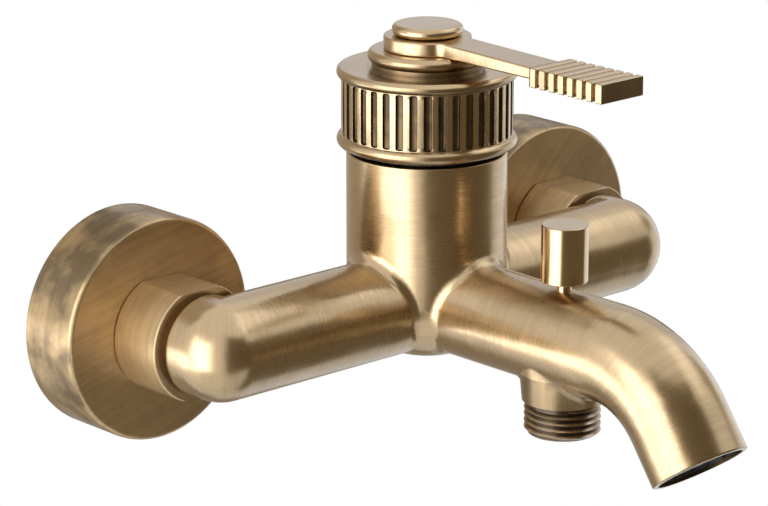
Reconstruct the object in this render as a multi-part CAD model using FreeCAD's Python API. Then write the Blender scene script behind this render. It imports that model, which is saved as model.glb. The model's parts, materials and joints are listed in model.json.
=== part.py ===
import FreeCAD, Part
import math
import os

from FreeCAD import Rotation, Vector

# Wall-mounted bath mixer with one lever, a cast spout and a hose outlet with a pull-up diverter.
# The origin lies on the wall plane, midway between the two inlets, at the crossbar's height.
# X runs along the wall, +Y into the wall and +Z up. All lengths are in millimetres.

# Fits between pieces
running_gap = 0.05
slip_gap = 0.1
free_gap = 0.3

# Wall connection: two eccentric unions, their covers and their nuts
inlet_centres = 150.0
cover_radius = 31.1
cover_depth = 19.2
cover_wall = 1.3
cover_edge = 1.3
union_thread_radius = 13.22
union_bore_radius = 8.0
wall_thread_radius = 10.48
wall_thread_length = 14.0
wall_bore_radius = 7.5
eccentric_drop = 8.0
eccentric_flange = 6.0
eccentric_rim = 1.6
wall_clearance = 2.0

nut_length = 17.4
nut_wall = 3.05
nut_lip = 3.5
nut_across_flats = 29.6
nut_edge = 0.6
washer_thickness = 1.5

# Crossbar of the cast body
arm_radius = 13.9
arm_bore_radius = 5.6
arm_bore_shift = 2.8
stub_length = 6.2
nut_shadow_gap = 1.8
nut_turning_gap = 0.6
neck_radius = 11.0
neck_tip = 1.15
neck_bore_radius = 7.8
ring_thickness = 1.5
ring_height = 1.6
ring_groove = 0.8
ring_opening = 24.0
water_wall = 2.6

# Housing for the cartridge
housing_wall = 4.8
housing_edge = 0.6
housing_foot_drop = 1.6
housing_foot_radius = 4.4
chamber_floor = 15.0
nut_thread_depth = 2.8
nut_sink = 1.2
join_round = 4.0
join_share = 0.9
mixed_channel_half = 3.0

# Spout
spout_radius = 13.5
spout_wall = 3.3
spout_run = 71.35
bend_radius = 31.65
bend_angle = 54.5
tip_run = 13.1
tip_wall = 1.5
tip_bore_depth = 11.0
tip_edge = 0.5
mixed_wall = 2.6

# Diverter and hose outlet
diverter_reach = 53.95
diverter_travel = 8.0
stem_radius = 2.0
knob_radius = 6.4
knob_height = 15.8
knob_clearance = 2.7
knob_edge = 0.35
knob_cover = 3.0
stem_seal_width = 1.6
stem_seal_height = 1.6
web_wall = 2.5
web_half_length = 11.6
web_seat_radius = 5.5
valve_radius = 7.0
valve_core = 1.5
valve_washer = 1.0
rivet_radius = 3.3
rivet_height = 1.6
boss_inset = 0.9
boss_tip_radius = 11.1
boss_depth = 3.5
boss_round = 2.5
hose_thread_radius = 10.48
hose_thread_length = 9.4
hose_thread_edge = 0.5
nipple_radius = 9.4
nipple_bore_radius = 7.5
nipple_hole_radius = 4.5
nipple_roof = 3.4
outlet_seal_height = 0.9
outlet_seal_width = 0.85
check_valve_length = 8.6
check_valve_wall = 1.4
check_plate = 1.4
check_plate_depth = 1.6
check_stop_radius = 3.0
check_stop_gap = 1.0

# Flow straightener in the spout's tip
aerator_recess = 1.0
aerator_length = 6.5
aerator_wall = 1.8
aerator_notches = 12
aerator_notch_width = 1.8
aerator_notch_depth = 1.0
aerator_edge = 0.4
insert_set_back = 0.6
insert_length = 3.4
insert_hole_radius = 0.85
insert_hole_pitch = 3.6
insert_hole_rows = 5
insert_rim = 0.8
aerator_seal_height = 1.6

# Cartridge
cartridge_radius = 17.6
cartridge_wall = 1.6
base_height = 3.7
base_seal_height = 1.2
base_seal_stand = 0.3
base_seal_width = 1.2
port_radius = 2.2
port_angle = 50.0
mixed_port_radius = 3.2
fixed_disc_height = 2.5
moving_disc_height = 2.5
disc_clearance = 1.25
disc_margin = 0.8
disc_seal = 0.5
mixing_pocket_depth = 1.2
slider_height = 3.5
slider_step = 1.4
slider_half_width = 8.4
cartridge_shoulder = 3.1
cartridge_neck_wall = 1.5
cartridge_lip = 1.3
cartridge_edge = 0.4
cartridge_lip_height = 2.2
shoulder_height = 3.1
cartridge_nut_height = 7.0
cartridge_nut_slots = 6
cartridge_nut_slot = 3.0
carrier_flange = 2.9
carrier_gap = 0.15

# Handle
pivot_rise = 4.45
pivot_pin_radius = 1.5
ball_radius = 2.2
ball_gap = 0.25
spindle_side = 8.0
spindle_foot = 2.5
spindle_neck_radius = 1.7
lift_angle = 25.0
sleeve_gap = 1.4
sleeve_wall = 0.8
bead_stand = 1.25
bead_height = 3.5
bead_lip = 0.3
bead_round = 1.68
flute_stand = 1.4
flute_height = 15.8
flute_count = 38
flute_width = 1.95
flute_depth = 1.0
flute_end_gap = 0.3
flange_stand = 1.25
flange_height = 3.0
flange_round = 1.44
sleeve_roof = 2.8
socket_radius = 8.0
socket_depth = 12.0
step_radius = 15.4
step_height = 1.3
collar_radius = 16.5
collar_height = 3.5
collar_round = 1.75
hub_radius = 12.1
hub_height = 3.9
cap_radius = 9.8
cap_height = 3.1
cap_round = 1.5
cap_spigot_radius = 8.5
cap_spigot_depth = 1.6
cap_wall = 1.2
cap_crown = 1.3
screw_radius = 2.5
screw_head_radius = 4.5
screw_head_height = 1.9
screw_socket_radius = 1.4
screw_socket_floor = 0.6
screw_length = 22.0
lever_half_width = 5.5
lever_blend = 4.0
lever_taper = 0.75
lever_edge = 0.5
grip_start = 47.6
grip_length = 26.5
grip_half_width = 7.85
grip_height = 5.3
grip_drop = 1.4
grip_ribs = 8
grip_groove = 0.95
grip_groove_depth = 0.75
grip_edge = 0.35

# Stations measured from the wall towards the room
nut_back = cover_depth + slip_gap
nut_front = nut_back + nut_length
nut_lip_back = nut_front - nut_lip
ring_front = nut_lip_back - running_gap
ring_back = ring_front - ring_thickness
neck_end = ring_back - neck_tip
union_end = neck_end - washer_thickness
stub_end = nut_front + nut_shadow_gap
bar_reach = stub_end + stub_length
flange_front = wall_clearance + eccentric_flange

# Radii that follow from fits
nut_bore_radius = union_thread_radius + running_gap
nut_radius = nut_bore_radius + nut_wall
ring_inner_radius = neck_radius - ring_groove
ring_outer_radius = ring_inner_radius + ring_height + ring_groove
flange_radius_top = union_thread_radius + eccentric_rim
flange_radius_low = wall_thread_radius + eccentric_rim
chamber_radius = cartridge_radius + free_gap
housing_radius = cartridge_radius + housing_wall
housing_round = housing_radius - housing_foot_radius
nut_thread_radius = housing_radius - nut_thread_depth
neck_outer_radius = cartridge_radius - cartridge_shoulder
cartridge_neck_radius = neck_outer_radius - cartridge_neck_wall
cartridge_bore_radius = cartridge_radius - cartridge_wall
carrier_flange_radius = cartridge_bore_radius - 2 * free_gap
spout_bore_radius = spout_radius - spout_wall
tip_bore_radius = spout_radius - tip_wall
boss_root_radius = spout_radius - boss_inset
flute_radius = housing_radius + flute_stand
bead_radius = flute_radius + bead_stand
flange_radius = flute_radius + flange_stand
sleeve_inner_radius = flute_radius - flute_depth - sleeve_wall

# The fillets round the crossbar and the spout may use this much of the housing's wall between the two
arm_angle = math.asin(arm_radius / housing_radius)
spout_angle = math.asin(spout_radius / housing_radius)
corner_room = housing_radius * (math.pi / 2 - arm_angle - spout_angle)
corner_use = math.tan(math.pi / 4 - arm_angle / 2) + math.tan(math.pi / 4 - spout_angle / 2)
corner_round = min(join_round, join_share * corner_room / corner_use)

# Levels in the cartridge, from its floor upwards
base_top = chamber_floor + base_seal_stand + base_height
fixed_disc_top = base_top + fixed_disc_height
moving_disc_bottom = fixed_disc_top + running_gap
moving_disc_top = moving_disc_bottom + moving_disc_height
slider_top = moving_disc_top + slider_height
pivot_height = slider_top + pivot_rise
carrier_bottom = slider_top + 2 * free_gap
flange_ceiling = carrier_bottom + carrier_flange + carrier_gap
shoulder_top = flange_ceiling + shoulder_height
nut_seat = shoulder_top - free_gap
housing_top = shoulder_top + cartridge_nut_height + nut_sink
housing_bottom = -arm_radius - housing_foot_drop
neck_top = housing_top
lip_bottom = neck_top - cartridge_lip_height
carrier_top = lip_bottom - free_gap

# Levels in the handle, from the housing upwards
bead_bottom = housing_top + sleeve_gap
flute_bottom = bead_bottom + bead_height
flute_top = flute_bottom + flute_height
sleeve_top = flute_top + flange_height
socket_bottom = sleeve_top - sleeve_roof - socket_depth
step_top = sleeve_top + step_height
collar_top = step_top + collar_height
hub_top = collar_top + hub_height
cap_seat = hub_top - cap_spigot_depth
screw_seat = cap_seat - screw_head_height
spindle_top = sleeve_top - sleeve_roof
grip_low = collar_top - grip_drop

# The ball at the spindle's foot pushes the discs' slider this far at full lift
ball_drop = pivot_height - moving_disc_top - ball_gap - ball_radius
disc_travel = ball_drop * math.sin(math.radians(lift_angle))

# The pocket under the moving disc always covers the mixed port. It stays clear of the two inlet ports
# while the lever is down, however far it is turned, and moves over them as the lever is lifted.
moving_disc_radius = cartridge_bore_radius - disc_travel - disc_clearance
slider_radius = moving_disc_radius - slider_step
port_reach = moving_disc_radius - disc_margin - port_radius
port_spread = port_reach * math.sin(math.radians(port_angle))
port_forward = port_reach * math.cos(math.radians(port_angle))
mixing_pocket_radius = port_reach - port_radius - disc_seal

# Levels of the diverter
valve_seat = -spout_bore_radius - free_gap
valve_height = valve_core + 2 * valve_washer
web_low = valve_seat + valve_height + diverter_travel
web_high = web_low + web_wall
boss_tip = -spout_radius - boss_depth
knob_bottom = spout_radius + knob_clearance
knob_top = knob_bottom + knob_height
stem_seal_top = spout_bore_radius + stem_seal_height

axis_y = -bar_reach
diverter_y = axis_y - diverter_reach
bend_y = axis_y - spout_run
bend = math.radians(bend_angle)
tip_direction = Vector(0, -math.cos(bend), -math.sin(bend))
bend_end = Vector(0, bend_y - bend_radius * math.sin(bend), -bend_radius + bend_radius * math.cos(bend))
tip_centre = bend_end + tip_direction * tip_run

X = Vector(1, 0, 0)
Y = Vector(0, 1, 0)
Z = Vector(0, 0, 1)


def rod(radius, start, end):
    """A solid cylinder from one point to another."""
    axis = end - start
    return Part.makeCylinder(radius, axis.Length, start, axis)


def block(low, high):
    """A box between two corners."""
    return Part.makeBox(high.x - low.x, high.y - low.y, high.z - low.z, low)


def outline(corners):
    """A closed wire in the XZ plane through (x, z) corners; a third value rounds that corner."""
    points = [Vector(corner[0], 0, corner[1]) for corner in corners]
    rounds = [corner[2] if len(corner) > 2 else 0 for corner in corners]
    count = len(points)
    entries = []
    exits = []
    arcs = []
    for i in range(count):
        here = points[i]
        back = (points[i - 1] - here).normalize()
        ahead = (points[(i + 1) % count] - here).normalize()
        if rounds[i] == 0:
            entries.append(here)
            exits.append(here)
            arcs.append(None)
            continue
        half = math.acos(max(-1, min(1, back.dot(ahead)))) / 2
        reach = rounds[i] / math.tan(half)
        middle = (back + ahead).normalize()
        centre = here + middle * (rounds[i] / math.sin(half))
        start = here + back * reach
        end = here + ahead * reach
        entries.append(start)
        exits.append(end)
        arcs.append(Part.Arc(start, centre - middle * rounds[i], end).toShape())
    edges = []
    for i in range(count):
        if arcs[i]:
            edges.append(arcs[i])
        following = entries[(i + 1) % count]
        if (following - exits[i]).Length > 1e-6:
            edges.append(Part.LineSegment(exits[i], following).toShape())
    return Part.Wire(edges)


def lathe(corners, foot=Vector(0, 0, 0), axis=Z):
    """The solid that (radius, height) corners sweep round an axis through the foot."""
    solid = Part.Face(outline(corners)).revolve(Vector(0, 0, 0), Z, 360)
    solid.Placement = FreeCAD.Placement(foot, Rotation(Z, axis))
    return solid


def tube(outer, inner, foot, height, axis=Z):
    """A plain ring, washer or pipe."""
    corners = [(inner, 0), (outer, 0), (outer, height), (inner, height)]
    return lathe(corners, foot, axis)


def bored(solid, *cutters):
    """The solid less every cutter."""
    return solid.cut(list(cutters))


def joined(*solids):
    """One clean solid made of the given ones."""
    return solids[0].fuse(list(solids[1:])).removeSplitter()


def at_housing(x, y, z):
    """A point measured from the housing's axis."""
    return Vector(x, axis_y + y, z)


def from_wall(x, reach, z):
    """A point measured from the wall towards the room."""
    return Vector(x, -reach, z)


def rounded_edges(solid, radius, chosen):
    """The solid with the chosen edges rounded."""
    edges = [edge for edge in solid.Edges if chosen(edge)]
    return solid.makeFillet(radius, edges)


def spout_path(radius, start_reach, tip_extra=0.0):
    """The solid that a round section sweeps along the spout, to its tip."""
    start = at_housing(0, -start_reach, 0)
    corner = Vector(0, bend_y, 0)
    section = Part.Face(Part.Wire(Part.makeCircle(radius, corner, -Y)))
    curve = section.revolve(Vector(0, bend_y, -bend_radius), X, bend_angle)
    end = tip_centre + tip_direction * tip_extra
    return joined(rod(radius, start, corner), curve, rod(radius, bend_end, end))


def middle_of(edge):
    """The point halfway along an edge."""
    return edge.valueAt((edge.FirstParameter + edge.LastParameter) / 2)


def is_free_curve(edge):
    """Whether two round forms meet in this edge, which is then neither a circle nor a line."""
    return edge.Curve.TypeId == "Part::GeomBSplineCurve"


def with_inlet(core, side):
    """The body with one round elbow, spot-faced so that the nut can turn, and its neck."""
    centre = from_wall(side, bar_reach, 0)
    elbow = Part.makeSphere(arm_radius, centre)
    room_side = block(from_wall(side - arm_radius, bar_reach + arm_radius, -arm_radius),
                      from_wall(side + arm_radius, bar_reach, arm_radius))
    stub = rod(arm_radius, centre, from_wall(side, stub_end, 0))
    spot_face = rod(nut_radius + nut_turning_gap, from_wall(side, stub_end, 0), from_wall(side, 0, 0))
    neck = rod(neck_radius, centre, from_wall(side, neck_end, 0))
    return joined(joined(core, elbow.common(room_side), stub).cut(spot_face), neck)


def body_outside():
    """The cast body before any waterway is cut."""
    half = inlet_centres / 2
    bar = rod(arm_radius, from_wall(-half, bar_reach, 0), from_wall(half, bar_reach, 0))
    housing = lathe([(0, housing_bottom),
                     (housing_radius, housing_bottom, housing_round),
                     (housing_radius, housing_top, housing_edge),
                     (0, housing_top)], at_housing(0, 0, 0))
    boss = lathe([(0, 0),
                  (boss_root_radius, 0),
                  (boss_tip_radius, boss_tip),
                  (0, boss_tip)], Vector(0, diverter_y, 0))
    core = joined(housing, bar, spout_path(spout_radius, 0), boss)

    def meets_boss(edge):
        point = middle_of(edge)
        return is_free_curve(edge) and math.hypot(point.x, point.y - diverter_y) < boss_root_radius

    def meets_housing(edge):
        point = middle_of(edge)
        return is_free_curve(edge) and math.hypot(point.x, point.y - axis_y) < housing_radius + running_gap

    core = rounded_edges(core, boss_round, meets_boss)
    core = rounded_edges(core, corner_round, meets_housing)
    for side in (-half, half):
        core = with_inlet(core, side)
    return core


def inlet_waterways():
    """Hot and cold ways, from each neck through the arm and up to the chamber floor."""
    half = inlet_centres / 2
    inner = mixed_channel_half + water_wall
    reach = bar_reach + arm_bore_shift
    cutters = []
    for side in (-1, 1):
        elbow = from_wall(side * half, reach, 0)
        cutters.append(rod(arm_bore_radius, from_wall(side * inner, reach, 0), elbow))
        cutters.append(Part.makeSphere(neck_bore_radius, elbow))
        cutters.append(rod(neck_bore_radius, elbow, from_wall(side * half, neck_end - 1, 0)))
        port = at_housing(side * port_spread, -port_forward, 0)
        cutters.append(rod(port_radius, port, port + Z * (chamber_floor + 1)))
        groove_start = from_wall(side * half, ring_back - running_gap / 2, 0)
        groove_width = ring_thickness + running_gap
        cutters.append(tube(neck_radius + 1, ring_inner_radius, groove_start, groove_width, -Y))
    return cutters


def mixed_waterway():
    """The way of the mixed water, from the chamber's middle port forward into the spout."""
    width = mixed_channel_half
    back = mixed_port_radius
    channel = block(at_housing(-width, -housing_radius, -width), at_housing(width, back, width))
    return [channel, rod(mixed_port_radius, at_housing(0, 0, 0), at_housing(0, 0, chamber_floor + 1))]


def spout_waterway():
    """The spout's bore, less the web that makes the water pass the diverter's seat."""
    start = arm_radius + mixed_wall
    bore = spout_path(spout_bore_radius, start)
    near = diverter_y + web_half_length
    far = diverter_y - web_half_length
    side = spout_radius
    shelf = block(Vector(-side, far, web_low), Vector(side, near, web_high))
    upper = block(Vector(-side, near - web_wall, web_low), Vector(side, near, side))
    lower = block(Vector(-side, far, -side), Vector(side, far + web_wall, web_high))
    seat = rod(web_seat_radius, Vector(0, diverter_y, web_low - 1), Vector(0, diverter_y, web_high + 1))
    web = joined(shelf, upper, lower).cut(seat)
    return bore.cut(web)


def mixer_body():
    """The casting: crossbar, housing, spout and hose boss in one piece."""
    chamber = rod(chamber_radius, at_housing(0, 0, chamber_floor), at_housing(0, 0, housing_top + 1))
    thread = rod(nut_thread_radius, at_housing(0, 0, nut_seat), at_housing(0, 0, housing_top + 1))
    foot = Vector(0, diverter_y, 0)
    in_bore = foot + Z * spout_bore_radius * 0.5
    stem_hole = rod(stem_radius + running_gap, in_bore, foot + Z * (spout_radius + 1))
    seal_pocket = rod(stem_radius + stem_seal_width, in_bore, foot + Z * stem_seal_top)
    nipple_hole = rod(nipple_radius, foot, foot + Z * (boss_tip - 1))
    seal_top = foot + Z * (boss_tip + outlet_seal_height)
    seal_recess = rod(nipple_radius + outlet_seal_width, seal_top, foot + Z * (boss_tip - 1))
    mouth = rod(tip_bore_radius, tip_centre - tip_direction * tip_bore_depth, tip_centre + tip_direction)
    body = bored(body_outside(), chamber, thread, spout_waterway(), mouth, stem_hole, seal_pocket,
                 nipple_hole, seal_recess, *inlet_waterways(), *mixed_waterway())

    def tip_rim(edge):
        offset = middle_of(edge) - tip_centre
        return abs(offset.dot(tip_direction)) < 0.01 and abs(offset.Length - spout_radius) < 0.01

    return rounded_edges(body, tip_edge, tip_rim)


def cover(side):
    """A deep round cover that hides the union, open towards the wall."""
    inner = cover_radius - cover_wall
    hole = union_thread_radius + slip_gap
    corners = [(hole, cover_depth - cover_wall),
               (inner, cover_depth - cover_wall),
               (inner, 0),
               (cover_radius, 0),
               (cover_radius, cover_depth, cover_edge),
               (hole, cover_depth)]
    return lathe(corners, from_wall(side, 0, 0), -Y)


def eccentric_union(side):
    """The offset pipe piece between the wall's thread and the mixer's nut."""
    centre = from_wall(side, 0, 0)
    low = from_wall(side, 0, -eccentric_drop)
    thread = rod(union_thread_radius, centre - Y * wall_clearance, centre - Y * union_end)
    round_top = rod(flange_radius_top, centre - Y * wall_clearance, centre - Y * flange_front)
    round_low = rod(flange_radius_low, low - Y * wall_clearance, low - Y * flange_front)
    wall_thread = rod(wall_thread_radius, low - Y * flange_front, low + Y * wall_thread_length)
    bore_end = centre - Y * (wall_clearance + eccentric_flange / 2)
    bore = rod(union_bore_radius, centre - Y * (union_end + 1), bore_end)
    wall_bore = rod(wall_bore_radius, low - Y * (flange_front - 1), low + Y * (wall_thread_length + 1))
    return bored(joined(thread, round_top, round_low, wall_thread), bore, wall_bore)


def union_nut(side):
    """The nut that draws the neck onto the union, with a flat above and one below."""
    corners = [(nut_bore_radius, 0),
               (nut_radius, 0, nut_edge),
               (nut_radius, nut_length, nut_edge),
               (neck_radius + slip_gap, nut_length),
               (neck_radius + slip_gap, nut_length - nut_lip),
               (nut_bore_radius, nut_length - nut_lip)]
    nut = lathe(corners, from_wall(side, nut_back, 0), -Y)
    half = nut_across_flats / 2
    reach = nut_radius + 1
    flats = []
    for low, high in ((half, reach), (-reach, -half)):
        flats.append(block(from_wall(side - reach, nut_front + 1, low),
                           from_wall(side + reach, nut_back - 1, high)))
    return bored(nut, *flats)


def retaining_ring(side):
    """The split ring in the neck's groove that the nut's lip pulls on."""
    inner = ring_inner_radius + running_gap
    ring = tube(ring_outer_radius, inner, from_wall(side, ring_back, 0), ring_thickness, -Y)
    half = ring_outer_radius * math.sin(math.radians(ring_opening / 2))
    opening = block(from_wall(side - half, ring_front + 1, 0),
                    from_wall(side + half, ring_back - 1, ring_outer_radius + 1))
    return ring.cut(opening)


def seal_washer(side):
    """The flat washer between the neck and the union."""
    return tube(union_thread_radius - slip_gap, union_bore_radius, from_wall(side, union_end, 0),
                washer_thickness, -Y)


def ports():
    """Centres and radii of the hot, cold and mixed ports."""
    return [(Vector(-port_spread, axis_y - port_forward, 0), port_radius),
            (Vector(port_spread, axis_y - port_forward, 0), port_radius),
            (Vector(0, axis_y, 0), mixed_port_radius)]


def port_holes():
    return [rod(radius, centre, centre + Z * base_top * 2) for centre, radius in ports()]


def cartridge_base():
    """The foot of the cartridge, with a pocket for the seal round each port."""
    base_low = chamber_floor + base_seal_stand
    base = rod(cartridge_radius, at_housing(0, 0, base_low), at_housing(0, 0, base_top))
    pockets = []
    for centre, radius in ports():
        low = centre + Z * chamber_floor
        pockets.append(rod(radius + base_seal_width, low, low + Z * base_seal_height))
    return bored(base, *pockets, *port_holes())


def cartridge_seals():
    """Three ring seals between the cartridge's foot and the chamber floor."""
    rings = [tube(radius + base_seal_width, radius, centre + Z * chamber_floor, base_seal_height)
             for centre, radius in ports()]
    return Part.makeCompound(rings)


def fixed_disc():
    """The ceramic disc that stays still over the ports."""
    radius = cartridge_bore_radius - running_gap
    disc = rod(radius, at_housing(0, 0, base_top), at_housing(0, 0, fixed_disc_top))
    return bored(disc, *port_holes())


def moving_disc():
    """The ceramic disc whose pocket joins the inlet ports to the mixed port."""
    disc = rod(moving_disc_radius, at_housing(0, 0, moving_disc_bottom), at_housing(0, 0, moving_disc_top))
    pocket = rod(mixing_pocket_radius, at_housing(0, 0, moving_disc_bottom - 1),
                 at_housing(0, 0, moving_disc_bottom + mixing_pocket_depth))
    return disc.cut(pocket)


def disc_slider():
    """The plate on the moving disc, with a pocket for the spindle's ball."""
    plate = rod(slider_radius, at_housing(0, 0, moving_disc_top), at_housing(0, 0, slider_top))
    keep = block(at_housing(-slider_half_width, -slider_radius, 0),
                 at_housing(slider_half_width, slider_radius, slider_top + 1))
    half = ball_radius + slip_gap
    pocket = block(at_housing(-half, -half, moving_disc_top), at_housing(half, half, slider_top + 1))
    return plate.common(keep).cut(pocket)


def cartridge_housing():
    """The cartridge's shell: a wide drum for the discs and a neck for the carrier."""
    corners = [(cartridge_bore_radius, base_top),
               (cartridge_radius, base_top),
               (cartridge_radius, shoulder_top),
               (neck_outer_radius, shoulder_top),
               (neck_outer_radius, neck_top, cartridge_edge),
               (cartridge_neck_radius - cartridge_lip, neck_top),
               (cartridge_neck_radius - cartridge_lip, lip_bottom),
               (cartridge_neck_radius, lip_bottom),
               (cartridge_neck_radius, flange_ceiling),
               (cartridge_bore_radius, flange_ceiling)]
    return lathe(corners, at_housing(0, 0, 0))


def cartridge_nut():
    """The slotted ring nut that holds the cartridge down."""
    nut = tube(nut_thread_radius - running_gap, neck_outer_radius + free_gap, at_housing(0, 0, shoulder_top),
               cartridge_nut_height)
    top = shoulder_top + cartridge_nut_height
    slots = []
    for i in range(cartridge_nut_slots):
        half = cartridge_nut_slot / 2
        slot = block(Vector((neck_outer_radius + nut_thread_radius) / 2, -half, top - cartridge_nut_slot),
                     Vector(nut_thread_radius + 1, half, top + 1))
        slot.rotate(Vector(0, 0, 0), Z, 360 / cartridge_nut_slots * i)
        slot.translate(at_housing(0, 0, 0))
        slots.append(slot)
    return bored(nut, *slots)


def spindle_window():
    """The space that the spindle needs while it tilts."""
    side = spindle_side / 2 + slip_gap
    tilt = math.radians(lift_angle)
    rise = carrier_top - pivot_height
    back = rise * math.tan(tilt) + spindle_side / 2 / math.cos(tilt) + free_gap
    front = spindle_side / 2 * math.cos(tilt) + spindle_foot * math.sin(tilt) + free_gap
    return block(at_housing(-side, -front, carrier_bottom - 1), at_housing(side, back, carrier_top + 1))


def spindle_carrier():
    """The turning drum: it holds the pivot pin above and guides the slider between two lugs."""
    bore = cartridge_neck_radius - free_gap
    flange_top = carrier_bottom + carrier_flange
    drum = lathe([(0, carrier_bottom),
                  (carrier_flange_radius, carrier_bottom),
                  (carrier_flange_radius, flange_top),
                  (bore, flange_top),
                  (bore, carrier_top),
                  (0, carrier_top)], at_housing(0, 0, 0))
    lug_bottom = moving_disc_top + free_gap
    skirt = rod(carrier_flange_radius, at_housing(0, 0, lug_bottom), at_housing(0, 0, carrier_bottom))
    inside = slider_half_width + slip_gap
    half = slider_radius - 2
    lugs = []
    for low, high in ((-carrier_flange_radius, -inside), (inside, carrier_flange_radius)):
        keep = block(at_housing(low, -half, lug_bottom), at_housing(high, half, carrier_bottom))
        lugs.append(skirt.common(keep))
    pin_hole = rod(pivot_pin_radius, at_housing(-bore - 1, 0, pivot_height),
                   at_housing(bore + 1, 0, pivot_height))
    return joined(drum, *lugs).cut([spindle_window(), pin_hole])


def spindle_pin():
    """The pin on which the spindle tilts."""
    half = cartridge_neck_radius - 2 * free_gap
    return rod(pivot_pin_radius, at_housing(-half, 0, pivot_height), at_housing(half, 0, pivot_height))


def spindle():
    """The square bar from the handle down to the ball that moves the slider."""
    half = spindle_side / 2
    foot = pivot_height - spindle_foot
    bar = block(at_housing(-half, -half, foot), at_housing(half, half, spindle_top))
    ball_centre = at_housing(0, 0, pivot_height - ball_drop)
    ball = Part.makeSphere(ball_radius, ball_centre)
    neck = rod(spindle_neck_radius, ball_centre, at_housing(0, 0, foot + 1))
    pin_hole = rod(pivot_pin_radius + running_gap, at_housing(-half - 1, 0, pivot_height),
                   at_housing(half + 1, 0, pivot_height))
    screw_end = at_housing(0, 0, screw_seat - screw_length)
    screw_hole = rod(screw_radius, screw_end, at_housing(0, 0, spindle_top + 1))
    return bored(joined(bar, neck, ball), pin_hole, screw_hole)


def flute_cutter():
    """One slot with round ends, laid on the sleeve's right side."""
    radius = flute_width / 2
    low = flute_bottom + flute_end_gap
    high = flute_top - flute_end_gap
    inside = flute_radius - flute_depth
    outside = flute_radius + 1
    straight = block(Vector(inside, -radius, low + radius), Vector(outside, radius, high - radius))
    foot = rod(radius, Vector(inside, 0, low + radius), Vector(outside, 0, low + radius))
    head = rod(radius, Vector(inside, 0, high - radius), Vector(outside, 0, high - radius))
    return joined(straight, foot, head)


def fluted_sleeve():
    """The hollow skirt that turns and tilts round the housing, with its flutes and two beads."""
    ceiling = sleeve_top - sleeve_roof
    shell = lathe([(sleeve_inner_radius, bead_bottom, bead_lip),
                   (bead_radius, bead_bottom, bead_round),
                   (bead_radius, flute_bottom, bead_round),
                   (flute_radius, flute_bottom),
                   (flute_radius, flute_top),
                   (flange_radius, flute_top, flange_round),
                   (flange_radius, sleeve_top, flange_round),
                   (0, sleeve_top),
                   (0, ceiling),
                   (sleeve_inner_radius, ceiling)], at_housing(0, 0, 0))
    socket = rod(socket_radius, at_housing(0, 0, socket_bottom), at_housing(0, 0, ceiling + 0.5))
    half = spindle_side / 2 + running_gap
    square = block(at_housing(-half, -half, socket_bottom - 1), at_housing(half, half, ceiling))
    screw_hole = rod(screw_radius + slip_gap, at_housing(0, 0, ceiling - 1), at_housing(0, 0, sleeve_top + 1))
    cutter = flute_cutter()
    flutes = []
    for i in range(flute_count):
        flute = cutter.copy()
        flute.rotate(Vector(0, 0, 0), Z, 360 / flute_count * (i + 0.5))
        flute.translate(at_housing(0, 0, 0))
        flutes.append(flute)
    return bored(joined(shell, socket), square, screw_hole, *flutes)


def step_ring():
    """The recessed ring between the sleeve and the collar."""
    return tube(step_radius, screw_radius + slip_gap, at_housing(0, 0, sleeve_top), step_height)


def collar_disc():
    """The round-edged disc under the lever's hub."""
    return lathe([(screw_radius + slip_gap, step_top),
                  (collar_radius, step_top, collar_round),
                  (collar_radius, collar_top, collar_round),
                  (screw_radius + slip_gap, collar_top)], at_housing(0, 0, 0))


def grip():
    """The wide end of the lever, grooved all round."""
    pitch = (grip_length + grip_groove) / grip_ribs
    rib = pitch - grip_groove
    core_half = grip_half_width - grip_groove_depth
    start = grip_start + rib / 2
    end = grip_start + grip_length - rib / 2
    core = block(at_housing(-core_half, -end, grip_low + grip_groove_depth),
                 at_housing(core_half, -start, grip_low + grip_height - grip_groove_depth))
    ribs = []
    for i in range(grip_ribs):
        near = grip_start + pitch * i
        slab = block(at_housing(-grip_half_width, -near - rib, grip_low),
                     at_housing(grip_half_width, -near, grip_low + grip_height))
        long_edges = [edge for edge in slab.Edges if edge.BoundBox.YLength > rib / 2]
        ribs.append(slab.makeFillet(grip_edge, long_edges))
    return joined(core, *ribs)


def lever_plate():
    """The hub and the flat arm, blended in plan; the arm thins towards the grip."""
    side = lever_half_width + lever_blend
    away = math.sqrt((hub_radius + lever_blend) ** 2 - side ** 2)
    share = hub_radius / (hub_radius + lever_blend)
    end = grip_start + 1
    hub = rod(hub_radius, at_housing(0, 0, collar_top), at_housing(0, 0, hub_top))
    bar = block(at_housing(-lever_half_width, -end, collar_top), at_housing(lever_half_width, 0, hub_top))
    web = block(at_housing(-side * share, -away, collar_top),
                at_housing(side * share, -away * share, hub_top))
    hollows = [rod(lever_blend, at_housing(x, -away, collar_top), at_housing(x, -away, hub_top))
               for x in (-side, side)]
    start = at_housing(-hub_radius, -hub_radius, hub_top)
    tip = at_housing(-hub_radius, -end, hub_top - lever_taper)
    above = at_housing(-hub_radius, -end, hub_top + 1)
    thinned = Part.Face(Part.makePolygon([start, tip, above, start])).extrude(X * 2 * hub_radius)
    plate = joined(hub, bar, web.cut(hollows)).cut(thinned)

    def along_the_rim(edge):
        box = edge.BoundBox
        across_the_arm = box.YLength < 0.01
        return box.ZLength < hub_height / 2 and not across_the_arm

    return rounded_edges(plate, lever_edge, along_the_rim)


def lever():
    """The hub, the flat arm and the ribbed grip in one piece."""
    recess = rod(cap_spigot_radius + slip_gap, at_housing(0, 0, cap_seat), at_housing(0, 0, hub_top + 1))
    head = rod(screw_head_radius + slip_gap, at_housing(0, 0, screw_seat), at_housing(0, 0, hub_top + 1))
    hole = rod(screw_radius + slip_gap, at_housing(0, 0, collar_top - 1), at_housing(0, 0, hub_top + 1))
    return bored(joined(lever_plate(), grip()), recess, head, hole)


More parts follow.
